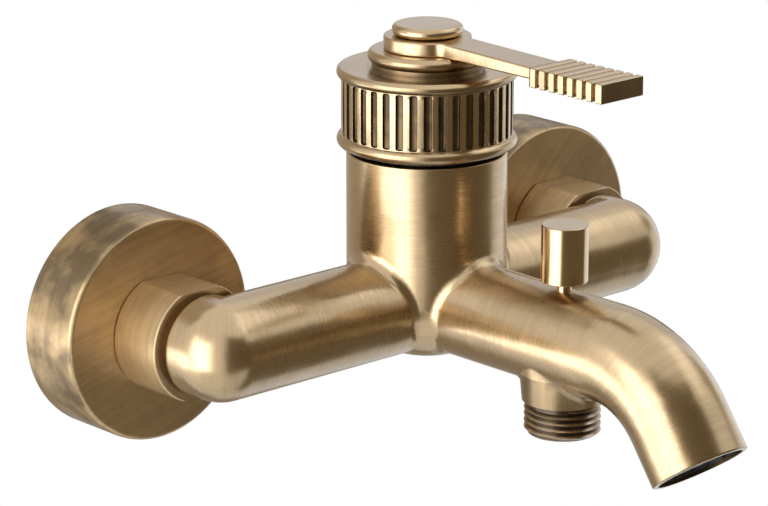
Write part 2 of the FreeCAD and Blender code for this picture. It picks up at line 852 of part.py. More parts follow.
def lever_cap():
    """The domed cap over the handle screw, held by its spigot."""
    top = hub_top + cap_height
    inner = cap_spigot_radius - cap_wall
    return lathe([(0, top - cap_crown),
                  (inner, top - cap_crown),
                  (inner, cap_seat),
                  (cap_spigot_radius, cap_seat),
                  (cap_spigot_radius, hub_top),
                  (cap_radius, hub_top, cap_round),
                  (cap_radius, top, cap_round),
                  (0, top)], at_housing(0, 0, 0))


def handle_screw():
    """The screw that holds the lever, collar and sleeve on the spindle."""
    seat = at_housing(0, 0, screw_seat)
    head = rod(screw_head_radius, seat, seat + Z * screw_head_height)
    shank = rod(screw_radius, seat - Z * screw_length, seat)
    socket = rod(screw_socket_radius, seat + Z * screw_socket_floor, seat + Z * (screw_head_height + 1))
    return joined(head, shank).cut(socket)


def hose_outlet():
    """The threaded nipple under the spout, with the lower seat of the diverter on top."""
    top = valve_seat
    corners = [(nipple_bore_radius, boss_tip - hose_thread_length),
               (hose_thread_radius, boss_tip - hose_thread_length, hose_thread_edge),
               (hose_thread_radius, boss_tip),
               (nipple_radius - running_gap, boss_tip),
               (nipple_radius - running_gap, top),
               (nipple_hole_radius, top),
               (nipple_hole_radius, top - nipple_roof),
               (nipple_bore_radius, top - nipple_roof)]
    return lathe(corners, Vector(0, diverter_y, 0))


def hose_outlet_seal():
    """The flat ring that seals the nipple in its boss."""
    foot = Vector(0, diverter_y, boss_tip)
    outer = nipple_radius + outlet_seal_width - slip_gap
    return tube(outer, nipple_radius, foot, outlet_seal_height)


def check_valve():
    """The non-return valve pushed up the nipple's bore."""
    outer = nipple_bore_radius - running_gap
    top = valve_seat - nipple_roof
    low = top - check_valve_length
    shell = tube(outer, outer - check_valve_wall, Vector(0, diverter_y, low), check_valve_length)
    plate_low = top - check_plate_depth - check_plate
    plate = rod(outer, Vector(0, diverter_y, plate_low), Vector(0, diverter_y, top - check_plate_depth))
    stop = rod(check_stop_radius, Vector(0, diverter_y, low + check_stop_gap), Vector(0, diverter_y, plate_low))
    return joined(shell, plate, stop)


def stem_seal():
    """The ring that seals the stem where it leaves the spout."""
    return tube(stem_radius + stem_seal_width, stem_radius + running_gap,
                Vector(0, diverter_y, spout_bore_radius), stem_seal_height)


def diverter_knob():
    """The plain round knob that is pulled up to send the water to the hose."""
    foot = Vector(0, diverter_y, 0)
    knob = lathe([(0, knob_bottom),
                  (knob_radius, knob_bottom, knob_edge),
                  (knob_radius, knob_top, knob_edge),
                  (0, knob_top)], foot)
    return knob.cut(rod(stem_radius, foot, foot + Z * (knob_top - knob_cover)))


def diverter_stem():
    """The stem, with the riveted head that holds the valve."""
    foot = Vector(0, diverter_y, 0)
    shank = rod(stem_radius, foot + Z * valve_seat, foot + Z * (knob_top - knob_cover))
    head = rod(rivet_radius, foot + Z * (valve_seat - rivet_height), foot + Z * valve_seat)
    return joined(shank, head)


def diverter_valve():
    """The brass core of the diverter's valve."""
    return tube(valve_radius, stem_radius, Vector(0, diverter_y, valve_seat + valve_washer), valve_core)


def diverter_washers():
    """The washers above and below the core that close one seat or the other."""
    foot = Vector(0, diverter_y, valve_seat)
    low = tube(valve_radius, stem_radius, foot, valve_washer)
    high = tube(valve_radius, stem_radius, foot + Z * (valve_washer + valve_core), valve_washer)
    return Part.makeCompound([low, high])


def tip_place(depth):
    """A point on the tip's axis, so far inside its mouth."""
    return tip_centre - tip_direction * depth


def aerator_ring():
    """The dark ring screwed into the tip, notched for its key."""
    outer = tip_bore_radius - running_gap
    ring = lathe([(outer - aerator_wall, 0),
                  (outer, 0, aerator_edge),
                  (outer, aerator_length),
                  (outer - aerator_wall, aerator_length)])
    notches = []
    for i in range(aerator_notches):
        half = aerator_notch_width / 2
        notch = block(Vector(0, -half, -1), Vector(outer - aerator_wall / 2, half, aerator_notch_depth))
        notch.rotate(Vector(0, 0, 0), Z, 360 / aerator_notches * i)
        notches.append(notch)
    ring = bored(ring, *notches)
    ring.Placement = FreeCAD.Placement(tip_place(aerator_recess), Rotation(Z, -tip_direction))
    return ring


def aerator_insert():
    """The perforated plate that the water leaves through."""
    radius = tip_bore_radius - aerator_wall - 2 * running_gap
    plate = Part.makeCylinder(radius, insert_length)
    holes = []
    reach = insert_hole_rows // 2
    for row in range(-reach, reach + 1):
        for column in range(-reach, reach + 1):
            x = (column + row / 2) * insert_hole_pitch
            y = row * insert_hole_pitch * math.sqrt(3) / 2
            if math.hypot(x, y) < radius - insert_hole_radius - insert_rim:
                holes.append(Part.makeCylinder(insert_hole_radius, insert_length + 2, Vector(x, y, -1)))
    plate = bored(plate, *holes)
    place = tip_place(aerator_recess + insert_set_back)
    plate.Placement = FreeCAD.Placement(place, Rotation(Z, -tip_direction))
    return plate


def aerator_seal():
    """The ring behind the aerator, at the end of the tip's bore."""
    outer = tip_bore_radius - running_gap
    return tube(outer, outer - aerator_wall, tip_place(aerator_recess + aerator_length),
                aerator_seal_height, -tip_direction)


pieces = {"mixer_body": mixer_body()}
for name, side in (("left", -inlet_centres / 2), ("right", inlet_centres / 2)):
    pieces[name + "_escutcheon"] = cover(side)
    pieces[name + "_s_union"] = eccentric_union(side)
    pieces[name + "_union_nut"] = union_nut(side)
    pieces[name + "_retaining_ring"] = retaining_ring(side)
    pieces[name + "_seal_washer"] = seal_washer(side)
pieces["cartridge_base"] = cartridge_base()
pieces["cartridge_seals"] = cartridge_seals()
pieces["fixed_ceramic_disc"] = fixed_disc()
pieces["moving_ceramic_disc"] = moving_disc()
pieces["disc_slider"] = disc_slider()
pieces["cartridge_housing"] = cartridge_housing()
pieces["cartridge_nut"] = cartridge_nut()
pieces["spindle_carrier"] = spindle_carrier()
pieces["spindle_pin"] = spindle_pin()
pieces["spindle"] = spindle()
pieces["fluted_sleeve"] = fluted_sleeve()
pieces["step_ring"] = step_ring()
pieces["collar_disc"] = collar_disc()
pieces["lever"] = lever()
pieces["lever_cap"] = lever_cap()
pieces["handle_screw"] = handle_screw()
pieces["hose_outlet"] = hose_outlet()
pieces["hose_outlet_seal"] = hose_outlet_seal()
pieces["check_valve"] = check_valve()
pieces["diverter_stem_seal"] = stem_seal()
pieces["diverter_knob"] = diverter_knob()
pieces["diverter_stem"] = diverter_stem()
pieces["diverter_valve"] = diverter_valve()
pieces["diverter_washers"] = diverter_washers()
pieces["aerator_ring"] = aerator_ring()
pieces["aerator_insert"] = aerator_insert()
pieces["aerator_seal"] = aerator_seal()

os.makedirs("parts", exist_ok=True)
for name, shape in pieces.items():
    shape.exportStep("parts/" + name + ".step")
    box = shape.BoundBox
    print(f"{name}: {len(shape.Solids)} solid, {shape.Volume / 1000:.2f} cm3, valid {shape.isValid()}, "
          f"X {box.XMin:.1f} {box.XMax:.1f} Y {box.YMin:.1f} {box.YMax:.1f} Z {box.ZMin:.1f} {box.ZMax:.1f}")
print(f"disc travel at full lift: {disc_travel:.3f} mm")
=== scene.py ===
import json
import math

import bmesh
import bpy
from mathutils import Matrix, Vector


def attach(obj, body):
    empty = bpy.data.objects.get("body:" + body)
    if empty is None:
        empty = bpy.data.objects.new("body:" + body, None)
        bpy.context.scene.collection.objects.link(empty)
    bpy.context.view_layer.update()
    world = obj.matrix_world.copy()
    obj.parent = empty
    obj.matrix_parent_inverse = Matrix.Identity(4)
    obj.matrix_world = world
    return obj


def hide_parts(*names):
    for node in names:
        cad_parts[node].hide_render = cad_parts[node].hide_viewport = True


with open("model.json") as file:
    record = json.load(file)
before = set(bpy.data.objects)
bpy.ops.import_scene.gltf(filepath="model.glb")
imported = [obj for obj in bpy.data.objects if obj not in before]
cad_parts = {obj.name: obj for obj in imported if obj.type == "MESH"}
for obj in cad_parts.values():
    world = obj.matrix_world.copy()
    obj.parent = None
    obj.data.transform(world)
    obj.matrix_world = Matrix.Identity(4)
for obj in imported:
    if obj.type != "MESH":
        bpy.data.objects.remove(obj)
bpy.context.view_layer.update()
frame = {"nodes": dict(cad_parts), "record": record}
nodes = frame["nodes"]
mm = 0.001

# Axes that several pieces share, in millimetres as in the CAD
housingY = -44.7
diverterY = -98.65
inletX = 75.0


def point(x, y, z):
    return Vector((x, y, z)) * mm


def linked(name, mesh):
    piece = bpy.data.objects.new(name, mesh)
    bpy.context.scene.collection.objects.link(piece)
    return piece


def wire(tree, source, output, target, entry):
    tree.links.new(source.outputs[output], target.inputs[entry])


# Shader node groups

def addSocket(tree, name, way, kind, value=None):
    socket = tree.interface.new_socket(name=name, in_out=way, socket_type=kind)
    if value is not None:
        socket.default_value = value


def mathNode(tree, operation, first, second):
    node = tree.nodes.new("ShaderNodeMath")
    node.operation = operation
    for entry, value in enumerate((first, second)):
        if isinstance(value, (int, float)):
            node.inputs[entry].default_value = value
        else:
            tree.links.new(value, node.inputs[entry])
    return node.outputs[0]


def mapped(tree, value, low, high, toLow, toHigh):
    node = tree.nodes.new("ShaderNodeMapRange")
    tree.links.new(value, node.inputs["Value"])
    limits = (("From Min", low), ("From Max", high), ("To Min", toLow), ("To Max", toHigh))
    for name, number in limits:
        node.inputs[name].default_value = number
    return node.outputs["Result"]


def mixedColour(tree, factor, first, second):
    node = tree.nodes.new("ShaderNodeMix")
    node.data_type = "RGBA"
    for entry, value in ((0, factor), (6, first), (7, second)):  # the sockets of a colour mix
        tree.links.new(value, node.inputs[entry])
    return node.outputs[2]


def newGroup(name, inputs, outputs):
    tree = bpy.data.node_groups.new(name, "ShaderNodeTree")
    for socket, kind, *value in inputs:
        addSocket(tree, socket, "INPUT", "NodeSocket" + kind, *value)
    for socket, kind in outputs:
        addSocket(tree, socket, "OUTPUT", "NodeSocket" + kind)
    return tree, tree.nodes.new("NodeGroupInput"), tree.nodes.new("NodeGroupOutput")


# What the brushing leaves: each layer has its share of the marks' fineness, and its detail
brushing = {"layers": (("Marks", 1.0, 3.0), ("Bands", 0.16, 4.0)), "roughness": 0.6,
            "waveScale": 62.0, "waveDetail": 1.5}


def makeBrushMarks():
    # Long thin marks: fine along "Across", slow in every other direction
    tree, entry, result = newGroup(
        "brushMarks",
        (("Place", "Vector"), ("Across", "Float", 0.0), ("Fine", "Float", 3600.0),
         ("Long", "Float", 70.0)),
        (("Marks", "Float"), ("Bands", "Float"), ("Waves", "Float")))
    ratio = mathNode(tree, "DIVIDE", entry.outputs["Fine"], entry.outputs["Long"])
    across = mathNode(tree, "MULTIPLY", entry.outputs["Across"], ratio)
    waves = tree.nodes.new("ShaderNodeTexNoise")
    waves.inputs["Scale"].default_value = brushing["waveScale"]
    waves.inputs["Detail"].default_value = brushing["waveDetail"]
    wire(tree, entry, "Place", waves, "Vector")
    wire(tree, waves, "Fac", result, "Waves")
    for output, share, detail in brushing["layers"]:
        noise = tree.nodes.new("ShaderNodeTexNoise")
        noise.noise_dimensions = "4D"
        wire(tree, entry, "Place", noise, "Vector")
        tree.links.new(mathNode(tree, "MULTIPLY", across, share), noise.inputs["W"])
        wire(tree, entry, "Long", noise, "Scale")
        noise.inputs["Detail"].default_value = detail
        noise.inputs["Roughness"].default_value = brushing["roughness"]
        wire(tree, noise, "Fac", result, output)
    return tree


# How the brass has aged; the pairs are the noise levels between which each layer sets in
ageing = {"cloudScale": 34.0, "cloudDetail": 6.0, "cloudRoughness": 0.62, "bandShare": 0.55,
          "clouds": (0.62, 0.98), "streaks": (0.35, 0.7), "streakMost": 0.5,
          "patchScale": 95.0, "patchDetail": 3.0, "patches": (0.4, 0.6)}


def makeAgedTone():
    # Antique tone: clouds of darker brass, broken up by the brushing, and a dark colour where the
    # pieces ask for it: patina in the flutes, painted shade in grooves, under things and on some faces
    tree, entry, result = newGroup(
        "agedTone",
        (("Place", "Vector"), ("Marks", "Float", 0.5), ("Bands", "Float", 0.5),
         ("Recess", "Float", 0.0), ("Bright", "Color"), ("Aged", "Color"), ("Dirt", "Color"),
         ("Amount", "Float", 0.5), ("Patchy", "Float", 0.1)),
        (("Tone", "Color"), ("Dulled", "Float")))
    clouds = tree.nodes.new("ShaderNodeTexNoise")
    clouds.inputs["Scale"].default_value = ageing["cloudScale"]
    clouds.inputs["Detail"].default_value = ageing["cloudDetail"]
    clouds.inputs["Roughness"].default_value = ageing["cloudRoughness"]
    wire(tree, entry, "Place", clouds, "Vector")
    bands = mathNode(tree, "MULTIPLY", entry.outputs["Bands"], ageing["bandShare"])
    broken = mathNode(tree, "ADD", clouds.outputs["Fac"], bands)
    cloudy = mapped(tree, broken, *ageing["clouds"], 0.0, 1.0)
    cloudy = mathNode(tree, "MULTIPLY", cloudy, entry.outputs["Amount"])
    streaks = mapped(tree, entry.outputs["Marks"], *ageing["streaks"], 0.0, ageing["streakMost"])
    streaks = mathNode(tree, "MULTIPLY", streaks, entry.outputs["Amount"])
    streaked = mathNode(tree, "ADD", cloudy, streaks)
    aged = mixedColour(tree, streaked, entry.outputs["Bright"], entry.outputs["Aged"])
    patches = tree.nodes.new("ShaderNodeTexNoise")
    patches.inputs["Scale"].default_value = ageing["patchScale"]
    patches.inputs["Detail"].default_value = ageing["patchDetail"]
    wire(tree, entry, "Place", patches, "Vector")
    worn = mapped(tree, patches.outputs["Fac"], *ageing["patches"], 0.0, 1.0)
    worn = mathNode(tree, "MULTIPLY", worn, entry.outputs["Patchy"])
    left = mathNode(tree, "SUBTRACT", 1.0, worn)
    dirtAndShadeShare = mathNode(tree, "MULTIPLY", entry.outputs["Recess"], left)
    tone = mixedColour(tree, dirtAndShadeShare, aged, entry.outputs["Dirt"])
    tree.links.new(tone, result.inputs["Tone"])
    tree.links.new(mathNode(tree, "MAXIMUM", streaked, dirtAndShadeShare), result.inputs["Dulled"])
    return tree


moulding = {"detail": 4.0, "clouds": (0.35, 0.7)}


def makeMouldedSkin():
    # The faint mottling of moulded plastic, rubber and lapped ceramic
    tree, entry, result = newGroup(
        "mouldedSkin",
        (("Place", "Vector"), ("Colour", "Color"), ("Shade", "Color"), ("Grain", "Float", 900.0)),
        (("Tone", "Color"), ("Height", "Float")))
    noise = tree.nodes.new("ShaderNodeTexNoise")
    wire(tree, entry, "Place", noise, "Vector")
    wire(tree, entry, "Grain", noise, "Scale")
    noise.inputs["Detail"].default_value = moulding["detail"]
    factor = mapped(tree, noise.outputs["Fac"], *moulding["clouds"], 0.0, 1.0)
    tone = mixedColour(tree, factor, entry.outputs["Colour"], entry.outputs["Shade"])
    tree.links.new(tone, result.inputs["Tone"])
    wire(tree, noise, "Fac", result, "Height")
    return tree


brushMarks = makeBrushMarks()
agedTone = makeAgedTone()
mouldedSkin = makeMouldedSkin()


def groupNode(tree, group, **values):
    node = tree.nodes.new("ShaderNodeGroup")
    node.node_tree = group
    for name, value in values.items():
        if isinstance(value, (int, float)):
            node.inputs[name].default_value = value
        elif isinstance(value, tuple):
            node.inputs[name].default_value = (*value, 1)
        else:
            tree.links.new(value, node.inputs[name])
    return node


def startMaterial(name):
    material = bpy.data.materials.new(name)
    material.use_nodes = True
    tree = material.node_tree
    shader = tree.nodes["Principled BSDF"]
    place = tree.nodes.new("ShaderNodeTexCoord").outputs["Object"]
    return material, tree, shader, place


def bumped(tree, height, strength, distance, under=None):
    bump = tree.nodes.new("ShaderNodeBump")
    bump.inputs["Strength"].default_value = strength
    bump.inputs["Distance"].default_value = distance
    tree.links.new(height, bump.inputs["Height"])
    if under:
        tree.links.new(under, bump.inputs["Normal"])
    return bump.outputs["Normal"]


# Brass finishes; "grain" is an attribute of the pieces, and so is their darkening level, which holds
# patina in the flutes and painted shade elsewhere
brassLooks = {
    "satinBrass": {"bright": (0.58, 0.42, 0.232), "aged": (0.34, 0.236, 0.118),
                   "dirtAndShade": (0.045, 0.026, 0.012), "amount": 0.48, "patchy": 0.15,
                   "rough": (0.22, 0.4), "bump": 0.62, "wave": 0.0006, "fine": 5200.0, "long": 60.0},
    "coverBrass": {"bright": (0.7, 0.505, 0.27), "aged": (0.31, 0.21, 0.102),
                   "dirtAndShade": (0.05, 0.033, 0.018), "amount": 0.6, "patchy": 0.8,
                   "rough": (0.36, 0.5), "bump": 1.0, "wave": 0.0003, "fine": 3000.0, "long": 45.0},
    "turnedBrass": {"bright": (0.62, 0.455, 0.255), "aged": (0.48, 0.34, 0.17),
                    "dirtAndShade": (0.08, 0.05, 0.03), "amount": 0.3, "patchy": 0.1,
                    "rough": (0.16, 0.24), "bump": 0.2, "wave": 0.0001, "fine": 5200.0, "long": 50.0},
    "threadBronze": {"bright": (0.66, 0.52, 0.37), "aged": (0.2, 0.13, 0.075),
                     "dirtAndShade": (0.03, 0.02, 0.012), "amount": 0.6, "patchy": 0.1,
                     "rough": (0.2, 0.4), "bump": 0.2, "wave": 0.0001, "fine": 4200.0, "long": 80.0},
}
lacquer = {"weight": 1.0, "rough": 0.14, "lostInDirtAndShade": 0.85}
scratching = {"depth": 0.00002, "bandShare": 2.2}


def makeBrass(name, look):
    material, tree, shader, place = startMaterial(name)
    grain = tree.nodes.new("ShaderNodeAttribute")
    grain.attribute_name = "grain"
    dirtAndShadeLevel = tree.nodes.new("ShaderNodeAttribute")
    dirtAndShadeLevel.attribute_name = "dirtAndShadeLevel"
    marks = groupNode(tree, brushMarks, Place=place, Across=grain.outputs["Fac"],
                      Fine=look["fine"], Long=look["long"])
    tone = groupNode(tree, agedTone, Place=place, Marks=marks.outputs["Marks"],
                     Bands=marks.outputs["Bands"], Recess=dirtAndShadeLevel.outputs["Fac"],
                     Bright=look["bright"], Aged=look["aged"], Dirt=look["dirtAndShade"],
                     Amount=look["amount"], Patchy=look["patchy"])
    wire(tree, tone, "Tone", shader, "Base Color")
    rough = mapped(tree, tone.outputs["Dulled"], 0.0, 1.0, *look["rough"])
    tree.links.new(rough, shader.inputs["Roughness"])
    shader.inputs["Metallic"].default_value = 1.0
    # The lacquer thins where the patina and the painted shade lie
    lost = mathNode(tree, "MULTIPLY", dirtAndShadeLevel.outputs["Fac"], lacquer["lostInDirtAndShade"])
    coat = mathNode(tree, "SUBTRACT", lacquer["weight"], lost)
    tree.links.new(coat, shader.inputs["Coat Weight"])
    shader.inputs["Coat Roughness"].default_value = lacquer["rough"]
    waves = bumped(tree, marks.outputs["Waves"], 1.0, look["wave"])
    bands = mathNode(tree, "MULTIPLY", marks.outputs["Bands"], scratching["bandShare"])
    scratches = mathNode(tree, "ADD", marks.outputs["Marks"], bands)
    scratched = bumped(tree, scratches, look["bump"], scratching["depth"], waves)
    tree.links.new(scratched, shader.inputs["Normal"])
    return material


# Finishes of the inner pieces, which stay plain CAD nodes
plainLooks = {
    "plain_brass": {"colour": (0.6, 0.45, 0.23), "shade": (0.56, 0.415, 0.205),
                    "grain": 600.0, "metal": 1.0, "rough": 0.28},
    "spring_steel": {"colour": (0.55, 0.55, 0.56), "shade": (0.42, 0.42, 0.44),
                     "grain": 800.0, "metal": 1.0, "rough": 0.3},
    "black_rubber": {"colour": (0.022, 0.022, 0.022), "shade": (0.035, 0.034, 0.033),
                     "grain": 1400.0, "metal": 0.0, "rough": 0.65},
    "white_plastic": {"colour": (0.74, 0.74, 0.71), "shade": (0.68, 0.68, 0.65),
                      "grain": 900.0, "metal": 0.0, "rough": 0.42},
    "black_plastic": {"colour": (0.018, 0.018, 0.018), "shade": (0.03, 0.03, 0.03),
                      "grain": 1200.0, "metal": 0.0, "rough": 0.38},
    "ceramic": {"colour": (0.84, 0.84, 0.82), "shade": (0.79, 0.79, 0.77),
                "grain": 500.0, "metal": 0.0, "rough": 0.16},
}
mottling = {"from": 0.3, "to": 0.7, "less": 0.06, "more": 0.08, "bump": 0.12, "depth": 0.00005}


def makePlain(name, look):
    material, tree, shader, place = startMaterial(name)
    skin = groupNode(tree, mouldedSkin, Place=place, Colour=look["colour"], Shade=look["shade"],
                     Grain=look["grain"])
    wire(tree, skin, "Tone", shader, "Base Color")
    shader.inputs["Metallic"].default_value = look["metal"]
    rough = mapped(tree, skin.outputs["Height"], mottling["from"], mottling["to"],
                   look["rough"] - mottling["less"], look["rough"] + mottling["more"])
    tree.links.new(rough, shader.inputs["Roughness"])
    uneven = bumped(tree, skin.outputs["Height"], mottling["bump"], mottling["depth"])
    tree.links.new(uneven, shader.inputs["Normal"])
    return material


finishes = {name: makeBrass(name, look) for name, look in brassLooks.items()}
finishes.update({name: makePlain(name, look) for name, look in plainLooks.items()})
print("finishes:", len(finishes))


# How a piece of the CAD becomes a finished piece

def smoothed(mesh, sharpest=40.0):
    bm = bmesh.new()
    bm.from_mesh(mesh)
    for face in bm.faces:
        face.smooth = True
    for edge in bm.edges:
        soft = edge.calc_face_angle(0.0) < math.radians(sharpest)
        edge.smooth = len(edge.link_faces) == 2 and soft
    bm.to_mesh(mesh)
    bm.free()


def writeCorners(mesh, name, rule):
    # One value for each corner of each face, from its place and its face's direction
    values = []
    places = [tuple(vertex.co / mm) for vertex in mesh.vertices]
    for face in mesh.polygons:
        facing = face.normal
        centre = face.center / mm
        for index in face.vertices:
            values.append(rule(places[index], facing, centre))
    layer = mesh.attributes.get(name) or mesh.attributes.new(name, "FLOAT", "CORNER")
    layer.data.foreach_set("value", values)


def mergedCopy(node):
    source = nodes[node].data
    mesh = bpy.data.meshes.new(node + "Copy")
    faces = [list(face.vertices) for face in source.polygons]
    mesh.from_pydata([vertex.co for vertex in source.vertices], [], faces)
    bm = bmesh.new()
    bm.from_mesh(mesh)
    bmesh.ops.remove_doubles(bm, verts=bm.verts, dist=1e-6)
    return mesh, bm


def plainMesh(piece):
    # The piece's mesh after its modifier, without the modifier
    view = bpy.context.evaluated_depsgraph_get()
    result = bpy.data.meshes.new_from_object(piece.evaluated_get(view),
                                             preserve_all_data_layers=True, depsgraph=view)
    piece.modifiers.clear()
    piece.data = result


def finished(piece, body, finish, standsFor=()):
    # Normals follow the large faces, so that narrow roundings don't bend them
    piece.modifiers.new("even", "WEIGHTED_NORMAL").keep_sharp = True
    plainMesh(piece)
    piece.data.materials.clear()
    piece.data.materials.append(finishes[finish])
    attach(piece, body)
    if standsFor:
        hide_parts(*standsFor)
    return piece


def skinOf(node, name, body, finish, rule, reshape=None, sharpest=40.0):
    mesh, bm = mergedCopy(node)
    if reshape:
        reshape(bm)
    bm.to_mesh(mesh)
    bm.free()
    smoothed(mesh, sharpest)
    writeCorners(mesh, "grain", lambda place, facing, centre: rule(place, facing, centre) * mm)
    piece = finished(linked(name, mesh), body, finish, (node,))
    print("skin:", name, len(mesh.polygons))
    return piece


def latheMesh(name, profile, centre, segments):
    # Turns (radius, height) corners round an upright axis; the profile closes on itself
    bm = bmesh.new()
    rings = []
    for radius, height in profile:
        ring = []
        for i in range(segments):
            angle = math.tau * i / segments
            place = point(radius * math.cos(angle), radius * math.sin(angle), height)
            ring.append(bm.verts.new(centre + place))
        rings.append(ring)
    for k in range(len(rings)):
        low, high = rings[k], rings[(k + 1) % len(rings)]
        for i in range(segments):
            j = (i + 1) % segments
            bm.faces.new((low[i], low[j], high[j], high[i]))
    bmesh.ops.remove_doubles(bm, verts=bm.verts, dist=1e-7)
    bmesh.ops.recalc_face_normals(bm, faces=bm.faces)
    mesh = bpy.data.meshes.new(name)
    bm.to_mesh(mesh)
    bm.free()
    return mesh


def arcPoints(centre, radius, start, end, steps):
    points = []
    for i in range(steps + 1):
        angle = math.radians(start + (end - start) * i / steps)
        points.append((centre[0] + radius * math.cos(angle), centre[1] + radius * math.sin(angle)))
    return points


# Geometry Nodes trees

def newTree(name, *sockets):
    tree = bpy.data.node_groups.new(name, "GeometryNodeTree")
    addSocket(tree, "Geometry", "INPUT", "NodeSocketGeometry")
    for socket, kind, value in sockets:
        addSocket(tree, socket, "INPUT", kind, value)
    addSocket(tree, "Finish", "INPUT", "NodeSocketMaterial")
    addSocket(tree, "Geometry", "OUTPUT", "NodeSocketGeometry")
    return tree, tree.nodes.new("NodeGroupInput"), tree.nodes.new("NodeGroupOutput")


def closeTree(tree, last, output, entry, result):
    realize = tree.nodes.new("GeometryNodeRealizeInstances")
    paint = tree.nodes.new("GeometryNodeSetMaterial")
    wire(tree, last, output, realize, "Geometry")
    wire(tree, realize, "Geometry", paint, "Geometry")
    wire(tree, entry, "Finish", paint, "Material")
    wire(tree, paint, "Geometry", result, "Geometry")
    return tree


def makeRoundPattern():
    # The piece's own mesh, repeated round an upright axis
    tree, entry, result = newTree("roundPattern", ("Count", "NodeSocketInt", 12),
                                  ("Centre", "NodeSocketVector", (0, 0, 0)))
    line = tree.nodes.new("GeometryNodePoints")
    wire(tree, entry, "Count", line, "Count")
    wire(tree, entry, "Centre", line, "Position")
    index = tree.nodes.new("GeometryNodeInputIndex")
    turn = mathNode(tree, "DIVIDE", index.outputs[0], entry.outputs["Count"])
    turn = mathNode(tree, "MULTIPLY", turn, math.tau)
    spin = tree.nodes.new("ShaderNodeCombineXYZ")
    tree.links.new(turn, spin.inputs["Z"])
    copies = tree.nodes.new("GeometryNodeInstanceOnPoints")
    wire(tree, line, "Points", copies, "Points")
    wire(tree, entry, "Geometry", copies, "Instance")
    wire(tree, spin, "Vector", copies, "Rotation")
    return closeTree(tree, copies, "Instances", entry, result)


def makeRowPattern():
    # The piece's own mesh, repeated along a step
    tree, entry, result = newTree("rowPattern", ("Count", "NodeSocketInt", 8),
                                  ("Start", "NodeSocketVector", (0, 0, 0)),
                                  ("Step", "NodeSocketVector", (0, 0, 0)))
    line = tree.nodes.new("GeometryNodeMeshLine")
    wire(tree, entry, "Count", line, "Count")
    wire(tree, entry, "Start", line, "Start Location")
    wire(tree, entry, "Step", line, "Offset")
    copies = tree.nodes.new("GeometryNodeInstanceOnPoints")
    wire(tree, line, "Mesh", copies, "Points")
    wire(tree, entry, "Geometry", copies, "Instance")
    return closeTree(tree, copies, "Instances", entry, result)


def makeThreadCoil():
    # One continuous thread ridge, wound upwards and then put in place
    tree, entry, result = newTree("threadCoil", ("Radius", "NodeSocketFloat", 0.01),
                                  ("Depth", "NodeSocketFloat", 0.001),
                                  ("Pitch", "NodeSocketFloat", 0.0018),
                                  ("Turns", "NodeSocketFloat", 5.0),
                                  ("Place", "NodeSocketVector", (0, 0, 0)),
                                  ("Turn", "NodeSocketVector", (0, 0, 0)))
    coil = tree.nodes.new("GeometryNodeCurveSpiral")
    coil.inputs["Resolution"].default_value = 64
    wire(tree, entry, "Turns", coil, "Rotations")
    wire(tree, entry, "Radius", coil, "Start Radius")
    wire(tree, entry, "Radius", coil, "End Radius")
    height = mathNode(tree, "MULTIPLY", entry.outputs["Pitch"], entry.outputs["Turns"])
    tree.links.new(height, coil.inputs["Height"])
    upright = tree.nodes.new("GeometryNodeSetCurveNormal")
    upright.mode = "Z_UP"
    wire(tree, coil, "Curve", upright, "Curve")
    ridge = tree.nodes.new("GeometryNodeCurvePrimitiveQuadrilateral")
    ridge.mode = "KITE"
    tree.links.new(mathNode(tree, "MULTIPLY", entry.outputs["Depth"], 2.0), ridge.inputs["Width"])
    flank = mathNode(tree, "MULTIPLY", entry.outputs["Pitch"], 0.47)
    tree.links.new(flank, ridge.inputs["Bottom Height"])
    tree.links.new(flank, ridge.inputs["Top Height"])
    swept = tree.nodes.new("GeometryNodeCurveToMesh")
    wire(tree, upright, "Curve", swept, "Curve")
    wire(tree, ridge, "Curve", swept, "Profile Curve")
    swept.inputs["Fill Caps"].default_value = True
    moved = tree.nodes.new("GeometryNodeTransform")
    wire(tree, swept, "Mesh", moved, "Geometry")
    wire(tree, entry, "Place", moved, "Translation")
    wire(tree, entry, "Turn", moved, "Rotation")
    return closeTree(tree, moved, "Geometry", entry, result)


roundPattern = makeRoundPattern()
rowPattern = makeRowPattern()
threadCoil = makeThreadCoil()


def grown(name, tree, mesh, finish, **values):
    # Runs the tree on the mesh and keeps the result as a plain mesh
    piece = linked(name, mesh)
    pattern = piece.modifiers.new("pattern", "NODES")
    pattern.node_group = tree
    values["Finish"] = finishes[finish]
    for item in tree.interface.items_tree:
        if item.item_type == "SOCKET" and item.in_out == "INPUT" and item.name in values:
            pattern[item.identifier] = values[item.name]
    plainMesh(piece)
    return piece


# The casting: crossbar, housing, spout and hose boss
casting = {"elbowX": 61.1, "elbowY": -30.8, "armRadius": 13.9, "armFrom": 20, "armTo": -67,
           "housingReach": 22.6, "rimHeight": 41.9, "rimRadius": 21.8, "spoutFrom": -64,
           "bendY": -116.05, "bendRadius": 31.65, "bendAngle": 54.5, "tipFrom": -130, "tipShade": 0.92,
           "bossReach": 14, "bossTop": -9, "bossShade": 0.3, "bossShadeSlope": 0.025}


